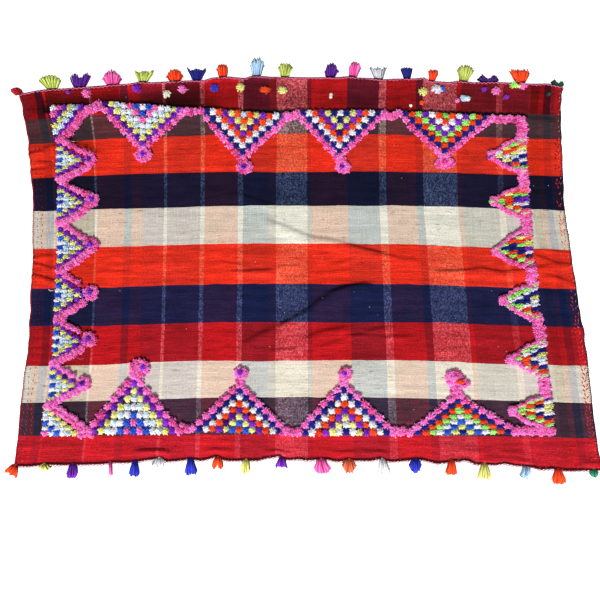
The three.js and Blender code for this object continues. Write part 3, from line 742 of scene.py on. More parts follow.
def floor_material():
    """A plain pale floor that gives off a little light of its own, so it stays even."""
    g = Graph("pale_floor")
    place = g.node("ShaderNodeTexCoord").outputs["Object"]
    tone = g.grey(g.span(g.noise(place, detail=2, scale=3.0), 0.3, 0.7, 0.84, 0.86))
    g.shade(
        {
            "Base Color": tone,
            "Emission Color": tone,
            "Emission Strength": 1.05,
            "Roughness": 0.95,
            "Specular IOR Level": 0.1,
        }
    )
    return g.material


# The camera: its sensor in millimetres, its focal length and picture width in pixels, how far
# before the cloth's middle and how high it is, in metres, and how steeply it looks down
SENSOR = 36
FOCAL_PIXELS = 770
PICTURE_PIXELS = 600
CAMERA_BEFORE = 0.594
CAMERA_HIGH = 3.0
CAMERA_DOWN = 81.5
# The light all round, and the sun: its strength, its size in degrees and where it stands
WORLD_LIGHT = 0.27
SUN_LIGHT = 5.02
SUN_SIZE = 5
TOWARD_SUN = (-0.22, -1.0, 0.92)
# The floor, in metres: how far it reaches, and its level
FLOOR_REACH = 9.0
FLOOR_LEVEL = -0.0004


def make_stage():
    """Camera, light and floor."""
    scene = bpy.context.scene
    scene.view_settings.view_transform = "Standard"
    scene.view_settings.look = "None"

    camera_data = bpy.data.cameras.new("camera")
    camera_data.sensor_width = SENSOR
    camera_data.lens = SENSOR * FOCAL_PIXELS / PICTURE_PIXELS
    camera_data.clip_start = 0.01
    camera = bpy.data.objects.new("camera", camera_data)
    camera.location = (-MIDDLE[0] * MM, -CAMERA_BEFORE - MIDDLE[1] * MM, CAMERA_HIGH)
    camera.rotation_euler = Euler((math.radians(90 - CAMERA_DOWN), 0, 0))
    scene.collection.objects.link(camera)
    scene.camera = camera

    world = bpy.data.worlds.new("studio")
    world.use_nodes = True
    background = world.node_tree.nodes["Background"]
    background.inputs["Color"].default_value = (1, 1, 1, 1)
    background.inputs["Strength"].default_value = WORLD_LIGHT
    scene.world = world

    sun = bpy.data.lights.new("key", "SUN")
    sun.energy = SUN_LIGHT
    sun.angle = math.radians(SUN_SIZE)
    key = bpy.data.objects.new("key", sun)
    key.rotation_euler = Vector(TOWARD_SUN).to_track_quat("Z", "Y").to_euler()
    scene.collection.objects.link(key)

    ways = ((-1, -1), (1, -1), (1, 1), (-1, 1))
    corners = [(x * FLOOR_REACH, y * FLOOR_REACH, FLOOR_LEVEL) for x, y in ways]
    floor = make_object("floor", corners, quads=[(0, 1, 2, 3)])
    floor.data.materials.append(floor_material())


# How far out each hem lies from its thread, in millimetres, at each thread u
TOP_HEM_LINE = [
    (-1060, -8), (-960, -5), (-900, -8), (-800, -9), (-660, -9), (-620, -3), (-580, -10),
    (-440, -10), (-380, -12), (-350, -2), (-280, 0), (-260, -4), (-220, -8), (-200, -1),
    (-160, 0), (-120, -5), (40, -8), (160, -6), (200, -1), (230, -7), (300, -9), (330, -13),
    (380, -9), (460, -5), (500, 0), (525, -13), (600, -16), (640, -7), (700, -12), (760, -6),
    (830, -5), (900, -5), (950, -3), (1000, 2), (1060, -4),
]
BOTTOM_HEM_LINE = [
    (-1060, -2), (-1010, 1), (-940, -3), (-900, 0), (-820, 2), (-740, 2), (-700, -2), (-660, 0),
    (-610, -3), (-570, -9), (-525, -12), (-500, -1), (-460, -3), (-430, -7), (-400, -6),
    (-375, -2), (-345, -8), (-318, -16), (-298, -5), (-270, 0), (-160, 0), (-125, -9),
    (-100, -12), (-80, -18), (-62, -4), (-35, -2), (0, -5), (20, 0), (60, -3), (100, -3),
    (125, 3), (145, 3), (165, -3), (200, 0), (255, -1), (282, -9), (300, -1), (325, 2), (370, -3),
    (420, -8), (445, -5), (485, 5), (520, 0), (540, -7), (560, -4), (582, -11), (602, -6),
    (622, 4), (660, 2), (690, 3), (720, -4), (760, 2), (800, 3), (825, 7), (850, 13), (890, 8),
    (930, 13), (960, 12), (1000, 8), (1030, 6), (1060, 3),
]
# How far to the right each side edge lies from its thread, at each thread v
LEFT_EDGE_LINE = [
    (-760, 4), (-720, 5), (-692, 3), (-618, 2), (-580, 1), (-542, -1), (-470, -1), (-422, -3.5),
    (-374, -2.5), (-326, 0), (-303, 4), (-278, 5), (-254, 0), (-230, 0.5), (-206, 4), (-157, 1.5),
    (-109, 1), (-84, 3), (-60, 4), (-35, 5.5), (-10, 8), (14, 9), (38, 5), (60, 3), (89, 1),
    (120, 0), (163, 1.5), (200, 1), (235, 0), (270, 3), (305, 5), (320, 3), (360, -1.5), (435, 0),
    (516, -1), (568, 2), (620, 5), (675, 5), (779, 2),
]
RIGHT_EDGE_LINE = [
    (-760, 6), (-738, 7), (-715, 2), (-690, -1), (-665, -2.5), (-615, -2.5), (-590, -4),
    (-520, -4), (-494, -3), (-325, -3), (-300, 0), (-276, 1), (-205, 0), (-180, -3), (-155, -6),
    (-130, -2), (-60, -1), (-30, -1), (15, -4), (64, -4), (88, -3), (140, 0), (210, 0),
    (257, -2.5), (306, 0), (355, -3), (474, -3), (500, 1), (520, -3), (600, -3), (656, -2),
    (684, -4), (712, -5), (740, -5), (779, 2),
]


# The hems' lines are felt this far in, and the side edges' from this thread u on, over this width
HEM_FELT = 50
SIDE_FELT_FROM = 980
SIDE_FELT_OVER = 80


def hem_shift(u, v):
    """How far the hems' wavy lines move each place, in millimetres along the warp."""
    u, v = np.broadcast_arrays(np.asarray(u, float), np.asarray(v, float))
    top = np.interp(u, *zip(*TOP_HEM_LINE)) * np.clip(1 - (HEM_TOP - v) / HEM_FELT, 0, 1)
    bottom = np.interp(u, *zip(*BOTTOM_HEM_LINE)) * np.clip(1 - (v - HEM_BOTTOM) / HEM_FELT, 0, 1)
    return top - bottom


def edge_place(u, v):
    """Where the threads u and v cross once the hems and side edges are drawn in, in plan."""
    x, y = cloth_place(u, v)
    small_waves = (smooth_noise(np.asarray(v, float), np.zeros(np.shape(v)), 42, 21) - 0.5) * 6
    left, right = np.interp(v, *zip(*LEFT_EDGE_LINE)), np.interp(v, *zip(*RIGHT_EDGE_LINE))
    line = np.where(np.asarray(u) < 0, left, right)
    x = x + (small_waves + line) * np.clip((np.abs(u) - SIDE_FELT_FROM) / SIDE_FELT_OVER, 0, 1)
    return x, y + hem_shift(u, v)


# How far the wefts wander below their threads v, in millimetres, at these threads u. Each row is
# a thread v where a band ends, and how far it wanders at each of them
WANDER_AT = (-1000, -760, -640, -520, -400, -240, -80, 80, 240, 400, 560, 680, 800, 1000)
WANDER = [
    (640, 0, 0, 0, 0, 0, 0, 0, 0, 0, 0, 0, 0, 0, 0),
    (535, 9, 2, 2, 3, 3, 0, 2, -2, 0, 4, 5, 6, 8, 6),
    (375, 1, 0, -2, -3, -3, -2, 0, 0, -3, -4, -3, -1, 1, 1),
    (238, 9, 8, 10, 12, 8, 9, 8, 9, 7, 6, 4, 6, 9, 8),
    (79, 4, 4, 4, 2, 0, 0, 0, 2, 1, -1, 4, 6, 6, 6),
    (-86, 5, 7, 5, 3, 2, 0, 1, 2, 1, 0, 1, 4, 6, 4),
    (-234, 3, 11, 7, 7, 2, 2, 5, 4, 5, 1, 1, 4, 8, 7),
    (-386, 9, 11, 6, 2, 2, 5, 5, 2, 1, 0, 2, 8, 9, 7),
    (-527, 3, 5, 4, 4, 0, 0, -1, 0, 0, 1, 2, 3, 2, 2),
    (-670, -7, -4, -3, -3, -3, -3, -3, -2, -3, -5, 0, -2, -2, -2),
    (-760, 0, 0, 0, 0, 0, 0, 0, 0, 0, 0, 0, 0, 0, 0),
]


def wander(u, v):
    """How far the wefts run below the thread v at each place, in millimetres."""
    levels = [-row[0] for row in WANDER]
    columns = np.stack([np.interp(u, WANDER_AT, row[1:]) for row in WANDER])
    place = np.interp(-v, levels, np.arange(len(levels)))
    above = np.clip(np.floor(place).astype(int), 0, len(levels) - 2)
    share = place - above
    upper, lower = (np.take_along_axis(columns, row[None], axis=0)[0] for row in (above, above + 1))
    return upper * (1 - share) + lower * share


# Columns of the cloth's mesh, and its rows from the top hem down: where each run ends and its spacing
CLOTH_ACROSS = 169
CLOTH_ROWS = [
    (610, 6.0), (490, 12.0), (370, 7.5), (300, 11.0), (-100, 5.2), (-345, 5.2), (-690, 12.5),
    (HEM_BOTTOM, 6.0),
]
# How far single places of the cloth stand up at random
CLOTH_FUZZ = 0.12


def make_cloth():
    """The woven cloth, and its area in square metres."""
    across = CLOTH_ACROSS
    us = np.linspace(-HALF_WEFT, HALF_WEFT, across)
    vs = [HEM_TOP]
    for end, step in CLOTH_ROWS:
        count = round((vs[-1] - end) / step)
        vs += list(np.linspace(vs[-1], end, count + 1)[1:])
    vs = np.array(vs)
    down = len(vs)
    u, v = (grid.ravel() for grid in np.meshgrid(us, vs))
    x, y = edge_place(u, v)
    rng = np.random.RandomState(11)
    rise = lift(u, v) + rng.rand(len(u)) * CLOTH_FUZZ
    points = np.concatenate([to_row(x, y, rise + THICKNESS), to_row(x, y, rise)])
    threads = np.stack([u * MM, (v + wander(u, v)) * MM, v * 0], axis=-1)
    a = (np.arange(down - 1)[:, None] * across + np.arange(across - 1)).ravel()
    under = across * down
    top = np.stack([a, a + across, a + across + 1, a + 1], axis=-1)
    bottom = np.stack([a, a + 1, a + across + 1, a + across], axis=-1) + under
    edge = np.concatenate(
        [
            np.arange(across - 1, 0, -1),
            np.arange(0, down - 1) * across,
            np.arange(across - 1) + (down - 1) * across,
            np.arange(down - 1, 0, -1) * across + across - 1,
        ]
    )
    following = np.roll(edge, -1)
    rim = np.stack([edge, edge + under, following + under, following], axis=-1)
    faces = np.concatenate([top, bottom, rim])
    cloth = make_object("woven_cloth", points, faces, threads=np.concatenate([threads, threads]))
    cloth.data.set_sharp_from_angle(angle=math.radians(60))
    cloth.data.materials.append(cloth_material())
    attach(cloth, "root")
    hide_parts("cloth")
    x, y = x.reshape(down, across), y.reshape(down, across)
    cell_u = np.hypot(np.diff(x, axis=1), np.diff(y, axis=1))[:-1]
    cell_v = np.hypot(np.diff(x, axis=0), np.diff(y, axis=0))[:, :-1]
    return cloth, float((cell_u * cell_v).sum()) * MM * MM


def strands(paths, radii, rng, sides=3):
    """Closed strands along paths (strand, section, xyz), with a radius at each section.

    Gives points, quads and triangles, as do the other shapes of yarn.
    """
    count, sections, _ = paths.shape
    along = np.gradient(paths, axis=1)
    along /= np.maximum(np.linalg.norm(along, axis=2, keepdims=True), 1e-9)
    helper = rng.normal(size=(count, 1, 3))
    first = np.cross(along, helper)
    first /= np.maximum(np.linalg.norm(first, axis=2, keepdims=True), 1e-9)
    second = np.cross(along, first)
    angle = np.arange(sides) * 2 * math.pi / sides
    ring = first[:, :, None] * np.cos(angle)[:, None] + second[:, :, None] * np.sin(angle)[:, None]
    points = paths[:, :, None] + ring * radii[:, :, None, None]
    number = np.arange(count * sections * sides).reshape(count, sections, sides)
    beside = np.roll(number, -1, axis=2)
    quads = np.stack([number[:, :-1], beside[:, :-1], beside[:, 1:], number[:, 1:]], axis=-1)
    caps = []
    for k in range(1, sides - 1):
        caps.append(np.stack([number[:, 0, 0], number[:, 0, k + 1], number[:, 0, k]], axis=-1))
        caps.append(np.stack([number[:, -1, 0], number[:, -1, k], number[:, -1, k + 1]], axis=-1))
    return points.reshape(-1, 3), quads.reshape(-1, 4), np.concatenate(caps)


class Pile:
    """Gathers many small shapes with their yarn colours into one mesh."""

    def __init__(self):
        self.points, self.quads, self.triangles, self.colors = [], [], [], []
        self.count = 0

    def add(self, points, quads, triangles, colors):
        colors = np.broadcast_to(colors, (len(points), 3))
        self.quads.append(np.asarray(quads, int).reshape(-1, 4) + self.count)
        self.triangles.append(np.asarray(triangles, int).reshape(-1, 3) + self.count)
        self.points.append(points)
        self.colors.append(colors)
        self.count += len(points)

    def finish(self, name, material):
        points = np.concatenate(self.points)
        colors = np.concatenate([np.concatenate(self.colors), np.ones((len(points), 1))], axis=1)
        placed = to_row(points[:, 0], points[:, 1], points[:, 2])
        quads, triangles = np.concatenate(self.quads), np.concatenate(self.triangles)
        thing = make_object(name, placed, quads, triangles, yarn=np.clip(colors, 0, 1))
        thing.data.materials.append(material)
        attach(thing, "root")
        return thing


def dome(radius, high, sides=7):
    """A closed low dome: points, quads, triangles."""
    angle = np.arange(sides) * 2 * math.pi / sides
    rings = [(radius, 0.0), (radius * 0.92, high * 0.55), (radius * 0.5, high * 0.93)]
    points = [(r * math.cos(a), r * math.sin(a), z) for r, z in rings for a in angle]
    points += [(0, 0, high), (0, 0, 0)]
    number = np.arange(3 * sides).reshape(3, sides)
    beside = np.roll(number, -1, axis=1)
    quads = np.stack([number[:-1], beside[:-1], beside[1:], number[1:]], axis=-1).reshape(-1, 4)
    crown, foot = 3 * sides, 3 * sides + 1
    top = [(number[2, k], beside[2, k], crown) for k in range(sides)]
    base = [(beside[0, k], number[0, k], foot) for k in range(sides)]
    return np.array(points), quads, np.array(top + base)


# The turn from one yarn end to the next that spreads them evenly, in radians
GOLDEN_TURN = 2.39996


def ball_of_ends(rng, count, across, high, width, low_angle=80, rough=0.17, ragged=0.13):
    """Cut yarn ends that fan out from one spot over a dome: points, quads, triangles, shades, with
    painted shade at the roots and painted highlight at the tips.
    """
    order = np.arange(count) + 0.5
    upright = 1 - order / count * (1 - math.cos(math.radians(low_angle)))
    polar = np.arccos(upright) + rng.normal(scale=0.12, size=count)
    turn = order * GOLDEN_TURN + rng.normal(scale=0.25, size=count)
    length = 1 + rng.normal(scale=ragged, size=count)
    out = np.sin(polar) * across / 2 * length
    up = 2.5 + np.cos(polar) * (high - 3.5) * length
    tip = np.stack([out * np.cos(turn), out * np.sin(turn), up], axis=-1)
    root = tip * 0.30 + (0, 0, 0.8)
    paths = np.stack([root, tip], axis=1)
    radii = np.array([0.85, 0.95]) * width / 2 * (1 + rng.normal(scale=0.15, size=(count, 1)))
    points, quads, triangles = strands(paths, radii, rng)
    shade = np.repeat(1 + np.clip(rng.normal(scale=rough, size=count), -0.60, 0.24), 6)
    # Painted shade at each end's root and painted highlight at its tip
    root_shade_tip_highlight = np.tile(np.repeat([0.50, 1.33], 3), count)
    return points, quads, triangles, shade * root_shade_tip_highlight


# A tuft as it is made, in millimetres: across and high, and how high its core is
TUFT_ACROSS = 26
TUFT_HIGH = 16.5
CORE_HIGH = 11.5
CORE_SIDES = 6


def tuft_shapes(ends, across, width, core, rough, seeds):
    """A few different tufts: ends that fan out over a core painted dark as shade, so no gap shows
    between them.
    """
    shapes = []
    for seed in seeds:
        rng = np.random.RandomState(seed)
        points, quads, triangles, shade = ball_of_ends(
            rng, ends, across, TUFT_HIGH, width, rough=rough, ragged=0.07
        )
        # The core is painted dark, as the shade between the ends
        core_points, core_quads, core_triangles = dome(core, CORE_HIGH, CORE_SIDES)
        shift = len(points)
        shapes.append(
            (
                np.concatenate([points, core_points]),
                np.concatenate([quads, core_quads + shift]),
                np.concatenate([triangles, core_triangles + shift]),
                np.concatenate([shade, np.full(len(core_points), 0.58)]),
            )
        )
    return shapes


# The border's pink yarn is fluffier than the others
TUFTS = tuft_shapes(27, 26.5, 4.0, 11.2, 0.24, range(100, 112))
FLUFFY_TUFTS = tuft_shapes(30, 27.0, 3.7, 10.8, 0.32, range(200, 212))


def dyed(tint, shade):
    """A yarn's colour at each shade. Darker ends are also deeper in colour, brighter ones paler, as a
    painted highlight.
    """
    shade = shade[:, None]
    tint = np.array(tint)
    painted_highlight = 0.75 * np.clip(shade - 1, 0, 0.5) * (1 - tint) * tint.max() ** 4 * tint[2]
    return shade * tint ** (1 + 0.8 * np.clip(1 - shade, 0, 1)) + painted_highlight


# Tufts press each other square: how far their corners reach out
SQUARED = 0.35
# How unevenly some yarns are dyed
UNEVEN = {"violet": 0.24, "pink": 0.17}
UNEVEN_OTHERS = 0.10
# The lower motifs' yarns are painted brighter, as painted light, and the upper left corner's darker,
# as
# painted shade: where each part begins, how bright it is, and how much of the contrast is left in the
# lower one
LIT_BELOW = -380
LOWER_PAINTED_LIGHT = 1.17
LOWER_SHADE_CONTRAST = 0.8
SHADED_CORNER = (-870, 440)
CORNER_PAINTED_SHADE = 0.84


def plant(pile, tufts, seed):
    """Adds tufts to a pile. Each is (x, y, length, width, angle, yarn), and may end with a height."""
    rng = np.random.RandomState(seed)
    x = np.array([t[0] for t in tufts])
    y = np.array([t[1] for t in tufts])
    u, v = threads_at(x, y)
    ground = lift(u, v) + THICKNESS
    for (px, py, long, wide, angle, yarn, *raised), floor in zip(tufts, ground):
        shapes = FLUFFY_TUFTS if yarn == "pink" else TUFTS
        points, quads, triangles, shade = shapes[rng.randint(len(shapes))]
        turn = rng.rand() * 2 * math.pi
        c, s = math.cos(turn), math.sin(turn)
        size = 1 + rng.normal(scale=0.06)
        along, across = points[:, 0] * c - points[:, 1] * s, points[:, 0] * s + points[:, 1] * c
        squared = np.hypot(along, across) / np.maximum(np.maximum(np.abs(along), np.abs(across)), 0.01)
        size = size * (1 + SQUARED * (squared - 1))
        along, across = along * long / TUFT_ACROSS * size, across * wide / TUFT_ACROSS * size
        angle = angle + rng.normal(scale=0.12)
        c, s = math.cos(angle), math.sin(angle)
        high = points[:, 2] * (0.92 + rng.rand() * 0.18) + sum(raised)
        jitter = rng.normal(scale=0.9, size=2)
        moved_x = along * c - across * s + px + jitter[0]
        moved_y = along * s + across * c + py + jitter[1]
        moved = np.stack([moved_x, moved_y, high + floor], -1)
        uneven = 1 + np.clip(rng.normal(scale=UNEVEN.get(yarn, UNEVEN_OTHERS)), -0.6, 0.2)
        # Painted light on the lower motifs, with less of their painted shade, and painted shade on the
        # upper left corner
        painted_light_tone = 1.0
        if py < LIT_BELOW:
            painted_light_tone = LOWER_PAINTED_LIGHT
            shade = 1 + (shade - 1) * LOWER_SHADE_CONTRAST
        elif px < SHADED_CORNER[0] and py > SHADED_CORNER[1]:
            painted_light_tone = CORNER_PAINTED_SHADE
        pile.add(moved, quads, triangles, dyed(YARNS[yarn], shade * uneven * painted_light_tone))


# Motifs, on much the same lattices as the solids. Each big one: name, middle of its base in x and
# y, tilt, pitch in x and y, x of its tip, width of its neck, knob, and its yarns from the edge in
BIG_MOTIFS = [
    ("tufts_top_1", -641, 647, -0.09, 25.7, 25.3, -636, 36, (-632, 446, 72, 64, "violet"),
     "pink violet lemon pale_sky white pink blue white"),
    ("tufts_top_2", -226, 615, -0.08, 25.4, 26.4, -234, 42, (-223, 394, 70, 58, "violet"),
     "pink navy white orange violet lemon orange sky"),
    ("tufts_top_3", 165, 620, 0, 25.4, 26.4, 157, 44, (174, 393, 66, 58, "violet"),
     "pink navy white orange violet lemon navy white"),
    ("tufts_top_4", 592, 609, -0.055, 27.0, 24.4, 583, 46, (585, 411, 88, 52, "magenta"),
     "pink navy orange green violet white orange green"),
    ("tufts_bottom_1", -638, -653, 0, 24.9, -30.2, -641, 54, (-622, -414, 82, 78, "violet", 16),
     "pink violet lemon pale_sky white blue pink blue"),
    ("tufts_bottom_2", -233, -649, -0.03, 25.4, -24.4, -233, 38, (-228, -433, 60, 54, "violet"),
     "pink navy white orange violet lemon blue orange"),
    ("tufts_bottom_3", 177, -658, 0, 26.0, -26.6, 167, 42, (176, -437, 60, 60, "violet"),
     "pink navy white orange violet lemon white navy"),
    ("tufts_bottom_4", 625, -658, 0.01, 28.8, -19.8, 607, 52, (597, -453, 72, 66, "pink"),
     "pink navy orange green white blue lemon navy"),
]
BIG_REACH = 7
# Tufts of big and corner motifs: the outer ones' sizes along and across, and how much larger the
# inner ones are than their pitch
OUTER_TUFT = (39, 33)
INNER_TUFT = 1.22
CORNER_TUFT = (31, 1.25)
# Side motifs reach this many tufts each way from their middle. The right ones' pitch is that of
# their solids, which have eleven rows of lumps to the yarn's nine
SIDE_REACH = 4
SIDE_SHRINK = 11 / 9
# How far apart their columns stand, compared with the table
LEFT_RUN = 1.13
RIGHT_RUN = 1.2
# Their tufts, compared with the pitch: long in the first column, long in the others, wide
FIRST_LONG = 1.34
OTHERS_LONG = 1.2
SIDE_WIDE = 1.3
FIRST_ASIDE = 3
# Yarns of the left motifs, inwards: in the column along their base, and in the others
LEFT_BASE_YARNS = "violet lemon blue white blue".split()
LEFT_YARNS = "violet lemon pale_sky pale_sky white".split()
# Each left motif: x, y, pitch in y and x, knob, and the lines of its upper and lower slopes
LEFT_MOTIFS = [
    (-972, 424, 15.3, 22.5, (-846, 428, 58, 62),
     [(-967, 508), (-940, 492), (-900, 468), (-862, 452)],
     [(-850, 400), (-900, 373), (-958, 346), (-970, 340)]),
    (-961, 247, 15.9, 22.5, (-832, 258, 62, 62),
     [(-966, 340), (-955, 328), (-900, 302), (-855, 280)],
     [(-848, 232), (-885, 196), (-938, 168), (-964, 164)]),
    (-952, 63, 18.7, 22.5, (-828, 74, 66, 66),
     [(-955, 158), (-905, 132), (-858, 104)], [(-838, 48), (-884, 8), (-938, -24)]),
    (-952, -127, 18.4, 22.5, (-822, -118, 64, 66),
     [(-952, -38), (-915, -54), (-866, -84)], [(-848, -156), (-900, -190), (-950, -214)]),
    (-951, -310, 16.6, 22.5, (-822, -302, 64, 66),
     [(-952, -232), (-908, -250), (-862, -268)], [(-848, -336), (-900, -368), (-956, -392)]),
    (-958, -481, 17.0, 22.5, (-836, -474, 62, 62),
     [(-956, -402), (-926, -416), (-880, -442)], [(-858, -502), (-928, -533), (-966, -554)]),
]
# Each right motif: x, y, pitch in y and x, tip, the lines of its slopes, and its columns of yarns
# from the base to the tip
RIGHT_MOTIFS = [
    (902, 440, 13.2, -27, (768, 446), [(900, 522), (840, 494)], [(820, 402), (880, 378), (900, 352)], [
        "green orange lemon white navy white navy green lemon",
        "green orange lemon pale_sky navy orange green",
        "lemon orange pale_sky lemon navy",
        "pale_sky lemon navy",
        "navy"]),
    (903, 254, 10.6, -27, (772, 256), [(895, 312), (830, 292)], [(830, 212), (882, 190)], [
        "orange orange green violet violet white navy orange lemon",
        "orange green navy violet white orange lemon",
        "lemon orange orange orange lemon",
        "orange green green",
        "green"]),
    (910, 59, 11.8, -27, (772, 50), [(880, 134), (830, 102)], [(830, 6), (884, -12)], [
        "green orange lemon lemon violet white navy orange green",
        "lemon orange green navy navy orange green",
        "orange navy navy orange green",
        "green navy green",
        "green"]),
    (925, -152, 13.0, -27, (792, -146), [(904, -90), (850, -104)], [(850, -192), (902, -220)], [
        "green pale_sky navy lemon white white navy orange green",
        "green white navy navy white orange lemon",
        "green white navy green lemon",
        "green white green",
        "pink"]),
    (944, -378, 13.4, -27, (816, -376), [(936, -308), (880, -332)], [(870, -410), (932, -440)], [
        "green white navy lemon pale_sky white navy orange green",
        "green pale_sky navy white navy orange green",
        "green white orange orange lemon",
        "pink green pink",
        "pink"]),
    (957, -574, 11.6, -29, (812, -576), [(958, -520), (890, -536)], [(870, -618), (948, -642)], [
        "orange navy white lemon lemon white navy orange green",
        "green orange navy white navy orange green",
        "green orange lemon orange green",
        "lemon green lemon",
        "pink"]),
]
# Each corner motif: x, y, pitch in x and y, skew, the line of its slope, and its yarns inwards
CORNERS = [
    (-1004, 643, 22.2, -24.7, 3.5, [(-832, 648), (-888, 613), (-915, 570), (-950, 533), (-980, 506)],
     "violet pale_sky lemon violet pink white"),
    (-975, -662, 22.5, 18.5, 0.0, [(-975, -556), (-925, -578), (-880, -606), (-830, -646)],
     "lemon pale_sky white blue pale_sky pink"),
]
CORNER_REACH = 6
CORNER_TRIM = 38
# Tufts beside the last lower motif's knob
SIDE_LOBE = [
    (648, -474, 28, 24, 0.3, "pink"),
    (636, -486, 26, 22, 0.9, "pink"),
    (634, -462, 26, 22, 0.2, "pink"),
    (618, -467, 44, 22, 0.1, "orange", 7.0),
]
# Bands of plain tufts between the motifs: x and y of both ends, and width
BANDS = {
    "tufts_top_1": [(-868, 640, -815, 645, 38), (-480, 626, -424, 625, 38)],
    "tufts_top_2": [(-68, 607, -20, 609, 34)],
    "tufts_top_3": [(338, 609, 386, 607, 34)],
    "tufts_top_4": [(764, 595, 905, 593, 34)],
    "tufts_bottom_1": [(-842, -662, -800, -660, 40), (-472, -643, -433, -644, 38)],
    "tufts_bottom_2": [(-68, -654, -27, -656, 38)],
    "tufts_bottom_3": [(352, -655, 396, -654, 38)],
    "tufts_bottom_4": [(818, -653, 970, -657, 34)],
    "tufts_left": [
        (-975, 514, -948, 497, 30),
        (-972, 346, -938, 344, 24),
        (-964, 168, -930, 164, 28),
        (-955, -30, -929, -33, 22),
        (-952, -222, -924, -225, 28),
        (-961, -394, -938, -397, 28),
        (-969, -556, -944, -559, 30),
    ],
    "tufts_right": [
        (902, 571, 900, 496, 44),
        (898, 384, 900, 300, 43),
        (902, 212, 904, 112, 44),
        (908, 8, 917, -96, 43),
        (928, -208, 940, -318, 43),
        (943, -438, 947, -522, 43),
    ],
}


def walk(points, spacing):
    """Places at an even spacing along a line of points: x, y and the direction there."""
    found = []
    for (x1, y1), (x2, y2) in zip(points, points[1:]):
        length = math.hypot(x2 - x1, y2 - y1)
        count = max(1, round(length / spacing))
        ax, ay = (x2 - x1) / length, (y2 - y1) / length
        for k in range(count + 1):
            found.append((x1 + ax * length * k / count, y1 + ay * length * k / count, ax, ay))
    return found


# Plain tufts: how far apart their rows stand, and how wide the tufts are at most
TRIM_ROW = 17
TRIM_WIDEST = 22


def trim(points, wide, long=25, spacing=17, lean=0.5):
    """Plain pink tufts in staggered rows along a line of points."""
    rows = max(1, round(wide / TRIM_ROW))
    found = []
    for number, (x, y, ax, ay) in enumerate(walk(points, spacing)):
        for row in range(rows):
            off = (row + 0.5 - rows / 2 + (0.15 if number % 2 else -0.15)) * wide / (rows + 0.5)
            turn = math.atan2(ay, ax) + (lean if (row + number) % 2 else -lean)
            found.append((x - ay * off, y + ax * off, long, min(TRIM_WIDEST, wide), turn, "pink"))
    return found


# A knob's tufts stand this far in from its edge, and about this far apart
KNOB_RIM = 11
KNOB_SPACING = 15
# Its two rings: share of the size, step from tuft to tuft, their length, width and turn
KNOB_RINGS = ((1, 1, 25, 21, 0.6), (0.5, 2, 21, 19, 0))
# Its heart: length, width, angle, and how much higher it stands
KNOB_HEART = (30, 28, 0.4)
HEART_HIGHER = 6.0


def knob(x, y, across, along, heart, aside=-3):
    """A round knob: rings of pink tufts about a heart of another yarn, which may sit aside."""
    reach_x, reach_y = across / 2 - KNOB_RIM, along / 2 - KNOB_RIM
    count = round(math.pi * (reach_x + reach_y) / KNOB_SPACING)
    found = []
    for share, step, long, wide, turn in KNOB_RINGS:
        for number in range(0, count, step):
            angle = number * 2 * math.pi / count
            place = (x + math.cos(angle) * reach_x * share, y + math.sin(angle) * reach_y * share)
            found.append((*place, long, wide, angle + turn, "pink"))
    return found + [(x + aside, y + 2, *KNOB_HEART, heart, HEART_HIGHER)]


def big_tufts(x, base, tilt, pitch, row, tip_x, neck, knob_at, yarns):
    """The tufts of a motif on a hem: stepped rows, a neck and a knob."""
    yarns = yarns.split()
    found = []
    slant = math.atan2(abs(row), pitch)
    for r in range(BIG_REACH + 1):
        for c in range(r - BIG_REACH, BIG_REACH - r + 1):
            centre = x + (tip_x - x) * r / BIG_REACH
            slope = tilt * c * pitch * (1 - r / BIG_REACH)
            layer = BIG_REACH - abs(c) - r
            place = (centre + c * pitch, base + slope - r * row)
            if layer == 0 and c != 0:
                found.append((*place, *OUTER_TUFT, math.copysign(slant, c * row), "pink"))
            else:
                wide = min(abs(row), pitch + 3) * INNER_TUFT
                found.append((*place, pitch * INNER_TUFT, wide, 0.0, yarns[layer]))
    tip_y = base - row * BIG_REACH
    found += trim([(tip_x, tip_y + math.copysign(4, row)), knob_at[:2]], neck)
    return found + knob(*knob_at)


def side_rows(x, y, rise, run, columns, lean):
    """The inner rows of a side motif: columns of yarns, each from its top end down."""
    found = []
    for r, yarns in enumerate(columns):
        long = abs(run) * (OTHERS_LONG if r else FIRST_LONG)
        column_x = x + r * run + math.copysign(0 if r else FIRST_ASIDE, run)
        for place, yarn in enumerate(yarns):
            c = SIDE_REACH - r - place
            found.append((column_x, y + c * rise, long, rise * SIDE_WIDE, lean, yarn))
    return found


def layered(base, others):
    """The left motifs' columns: the same yarns at the same depth from both slopes."""
    columns = []
    for r in range(SIDE_REACH + 1):
        yarns = others if r else base
        reach = SIDE_REACH - r
        columns.append([yarns[reach - abs(c)] for c in range(-reach, reach + 1)])
    return columns


def left_tufts(x, y, pitch, row, knob_at, upper, lower):
    """The tufts of a motif on the left edge: inner columns, two slopes and a knob."""
    columns = layered(LEFT_BASE_YARNS, LEFT_YARNS)
    found = side_rows(x, y, pitch, row * LEFT_RUN, columns, lean=0.15)
    found += trim(upper, wide=25, long=24, spacing=14)
    found += trim(lower, wide=27, long=24, spacing=14)
    return found + knob(*knob_at, "violet")


def right_tufts(x, y, pitch, row, tip, upper, lower, columns):
    """The tufts of a motif on the right edge: inner columns, two slopes and a blunt tip."""
    columns = [yarns.split() for yarns in columns]
    found = side_rows(x, y, pitch * SIDE_SHRINK, row * RIGHT_RUN, columns, lean=0.25)
    found += trim(upper + [tip], wide=15, long=22, spacing=12, lean=0.35)
    found += trim([tip] + lower, wide=21, long=22, spacing=13)
    blunt = [(tip[0] + 5, tip[1] + 8), (tip[0] + 7, tip[1] - 12)]
    return found + trim(blunt, wide=28, long=22, spacing=13)


